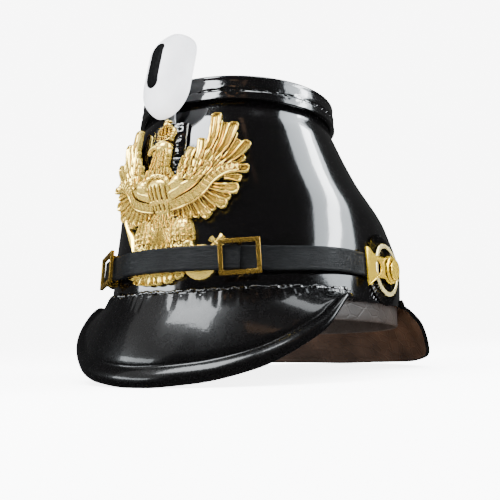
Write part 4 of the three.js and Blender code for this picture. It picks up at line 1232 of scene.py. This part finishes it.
for side in (1, -1):
    oval(eagle, side * 12.2, 39.4, 8.4, 8.6, 0.3, dome_of(3.4), 20, side * 0.5)
    small_scales(eagle, [(side * x, y, spread_half, count) for x, y, spread_half, count in THIGH_ROWS],
                 lambda x, y: 3.1 - 0.045 * ((abs(x) - 12.2) ** 2 + (y - 41) ** 2 * 0.6), 2.1, 4.8)
    for root, tip, half in CLAWS:
        route = [root, ((root[0] + tip[0]) / 2 + 0.5, (root[1] + tip[1]) / 2 + 0.4), tip]
        band(eagle, route, half, 0.8, 2.4,
             lambda v, s: round_bar(v) * (0.85 + 0.15 * cos(14 * s)), side, 16, 8,
             lambda s: 1 - 0.6 * smooth(s, 0.6, 1))
    oval(eagle, side * 18, 31, 3.0, 2.6, 1.0, dome_of(2.2), 12)


def orb_relief(u, w):
    belt = 0.6 * bump(u * 0.5 + w * 0.86, 0.12, 0.1)
    return dome_of(2.6)(u, w) + belt * smooth(1 - u * u - w * w, 0.02, 0.2)


oval(eagle, 26.0, 19.8, 9.6, 10.2, 0.2, orb_relief, 30)
cross_at, cross_run = Vector((34.6, 30.6)), Vector((0.62, 0.78))
for turn_by, reach in ((0, 5.6), (90, 4.4), (180, 5.0), (270, 4.4)):
    arm = Matrix.Rotation(radians(turn_by), 2) @ cross_run * reach
    band(eagle, [tuple(cross_at), tuple(cross_at + arm)], 1.9, 0.3, 1.8,
         lambda v, s: 1 - 0.45 * abs(v), 1, 8, 6, lambda s: 0.42 + 0.58 * s)
band(eagle, [(-13.5, 12), (-20, 24.5), (-28, 38), (-36.5, 53.5)], 2.4, 0.2, 1.8,
     lambda v, s: 1 - abs(v) ** 1.5, 1, 60, 10,
     lambda s: 0.75 + 0.25 * waves(3, s) + 0.25 * s)
print("whole eagle:", len(eagle.faces))

# %% Bend the eagle round the shell
EAGLE_HEIGHT, EAGLE_SPAN, EAGLE_OUT, WING_SPRING = 103.0, 50.0, 0.45, 4.0
HEAD_SHIFT, HEAD_FROM, HEAD_TO = 2.6, 74.0, 90.0
CROWN_SQUEEZE, CROWN_FROM, UNDER_STRAP = 0.18, 96.0, 3.6


def pocket_lift(x, up):
    half = POCKET_WIDTH / 2 + GAP
    sideways = 1 - smooth(abs(x), half, half * 2.3)
    return (POCKET_DEPTH + GAP) * sideways * smooth(up, POCKET_FOOT - 20, POCKET_FOOT - GAP)


for v in eagle.verts:
    x, up, out = v.co
    middle = 1 - smooth(abs(x), 12, 16)
    x += HEAD_SHIFT * middle * smooth(up, HEAD_FROM, HEAD_TO)
    up -= CROWN_SQUEEZE * middle * max(up - CROWN_FROM, 0)
    above = STRAP_UP + STRAP_WIDTH / 2 + 2
    spring = WING_SPRING * smooth(up, above, above + 0.2 * EAGLE_HEIGHT) * (x / EAGLE_SPAN) ** 2
    out = mix(out, min(out, UNDER_STRAP), smooth(abs(up - STRAP_UP), 11.5, 8.0))
    v.co = bent_point(0, x, up, EAGLE_OUT + pocket_lift(x, up) + spring + out)
finish_piece("eagle_relief", eagle, eagle_brass, ["eagle_plate"], 50)

# %% [markdown]
# The camera stands low and close, a little to the wearer's left of the front, as
# for the photograph. The floor is plain and pale.

# %% Camera and floor
CAMERA_AT, SENSOR_WIDTH, LENS = Vector((0.26471, -0.42152, 0.02722)), 36.0, 50.74
LOOK, UPWARD = Vector((-0.53732, 0.83505, 0.11824)), Vector((0.09078, -0.08212, 0.99248))
camera = add_object("camera", bpy.data.cameras.new("camera"))
right = LOOK.cross(UPWARD).normalized()
turn = Matrix((right, right.cross(LOOK).normalized(), -LOOK.normalized())).transposed()
camera.matrix_world = Matrix.Translation(CAMERA_AT) @ turn.to_4x4()
camera.data.sensor_width, camera.data.lens = SENSOR_WIDTH, LENS
camera.data.clip_start = 0.01
bpy.context.scene.camera = camera

FLOOR_HALF, FLOOR_GLOW = 6.0, 5.0
floor_bm = bmesh.new()
bmesh.ops.create_grid(floor_bm, x_segments=2, y_segments=2, size=FLOOR_HALF)
floor_mesh = bpy.data.meshes.new("floor")
floor_bm.to_mesh(floor_mesh)
floor_bm.free()
floor = add_object("floor", floor_mesh)
pale_floor, _ = new_finish("pale floor", (0.86, 0.86, 0.86), 0.9, Specular_IOR_Level=0.1,
                           Emission_Color=(1, 1, 1, 1), Emission_Strength=FLOOR_GLOW)
floor_mesh.materials.append(pale_floor)
floor.visible_glossy = False

# %% [markdown]
# Light: a tall softbox at the wearer's left, with a narrow core, makes the long
# bright reflection down the side of the shell. Three smaller ones, near, low and
# high, add the lesser reflections, and a dim wide one fills the front. Five small
# warm ones in a row give the faint brown streak, and a sixth the sparkle beside it.
# The room is dark for the lacquer and white for the camera, as in a cut-out picture.

# %% Lights
AIM = Vector((0, -0.02, 0.1))


def softbox(name, azimuth, height, distance, width, tall, radiance, color=(1, 1, 1), roll=0):
    """azimuth counts from the front to the wearer's left, height is the angle above level."""
    a, h = radians(azimuth), radians(height)
    away = Vector((sin(a) * cos(h), -cos(a) * cos(h), sin(h)))
    light = bpy.data.lights.new(name, "AREA")
    light.shape = "RECTANGLE"
    light.size, light.size_y = width, tall
    light.energy = radiance * pi * width * tall
    light.color = color
    lamp = add_object(name, light)
    lamp.location = AIM + away * distance
    lamp.rotation_euler = (away.to_track_quat("Z", "Y").to_matrix()
                           @ Matrix.Rotation(radians(roll), 3, "Z")).to_euler()
    lamp.visible_camera = False


SOFTBOXES = [("side softbox", 112, 28, 1.0, 0.56, 1.0, 8.0, (0.88, 0.95, 1.0), -30),
             ("side softbox core", 115, 27, 0.95, 0.14, 0.8, 26.0, (0.95, 0.98, 1.0), -42),
             ("near softbox", -12, 47, 0.5, 0.26, 0.24, 26.0, (0.93, 0.97, 1.0)),
             ("low front softbox", -44, 12, 1.1, 0.8, 0.16, 13.0, (0.9, 0.96, 1.0)),
             ("front fill", -42, 34, 1.2, 1.1, 1.0, 0.8),
             ("high side softbox", 100, 74, 1.0, 0.3, 0.3, 9.0, (0.93, 0.97, 1.0))]
for height, strength in ((56, 0.8), (50, 0.7), (44, 0.6), (38, 0.4), (32, 0.2)):
    SOFTBOXES.append(("warm streak", 46, height, 1.1, 0.06, 0.08, strength, (1.0, 0.62, 0.4)))
SOFTBOXES.append(("warm sparkle", 31, 45, 1.1, 0.12, 0.1, 2.0, (1.0, 0.6, 0.35)))
for row in SOFTBOXES:
    softbox(*row)

CEILING_LIGHT, CEILING_SPREAD, ROOM_LIGHT, PICTURE_WHITE = 12.0, 100, 0.05, 8.0
sky = bpy.data.lights.new("ceiling", "SUN")
sky.energy, sky.angle = CEILING_LIGHT, radians(CEILING_SPREAD)
ceiling = add_object("ceiling", sky)
ceiling.rotation_euler = (radians(12), 0, radians(20))
ceiling.visible_glossy = False

world = bpy.data.worlds.new("studio")
bpy.context.scene.world = world
world.use_nodes = True
tree = world.node_tree
back, white = tree.nodes["Background"], tree.nodes.new("ShaderNodeBackground")
for shader, strength in ((back, ROOM_LIGHT), (white, PICTURE_WHITE)):
    shader.inputs["Color"].default_value = (1, 1, 1, 1)
    shader.inputs["Strength"].default_value = strength
path = tree.nodes.new("ShaderNodeLightPath")
choose = tree.nodes.new("ShaderNodeMixShader")
tree.links.new(path.outputs["Is Camera Ray"], choose.inputs["Fac"])
tree.links.new(back.outputs["Background"], choose.inputs[1])
tree.links.new(white.outputs["Background"], choose.inputs[2])
tree.links.new(choose.outputs["Shader"], tree.nodes["World Output"].inputs["Surface"])
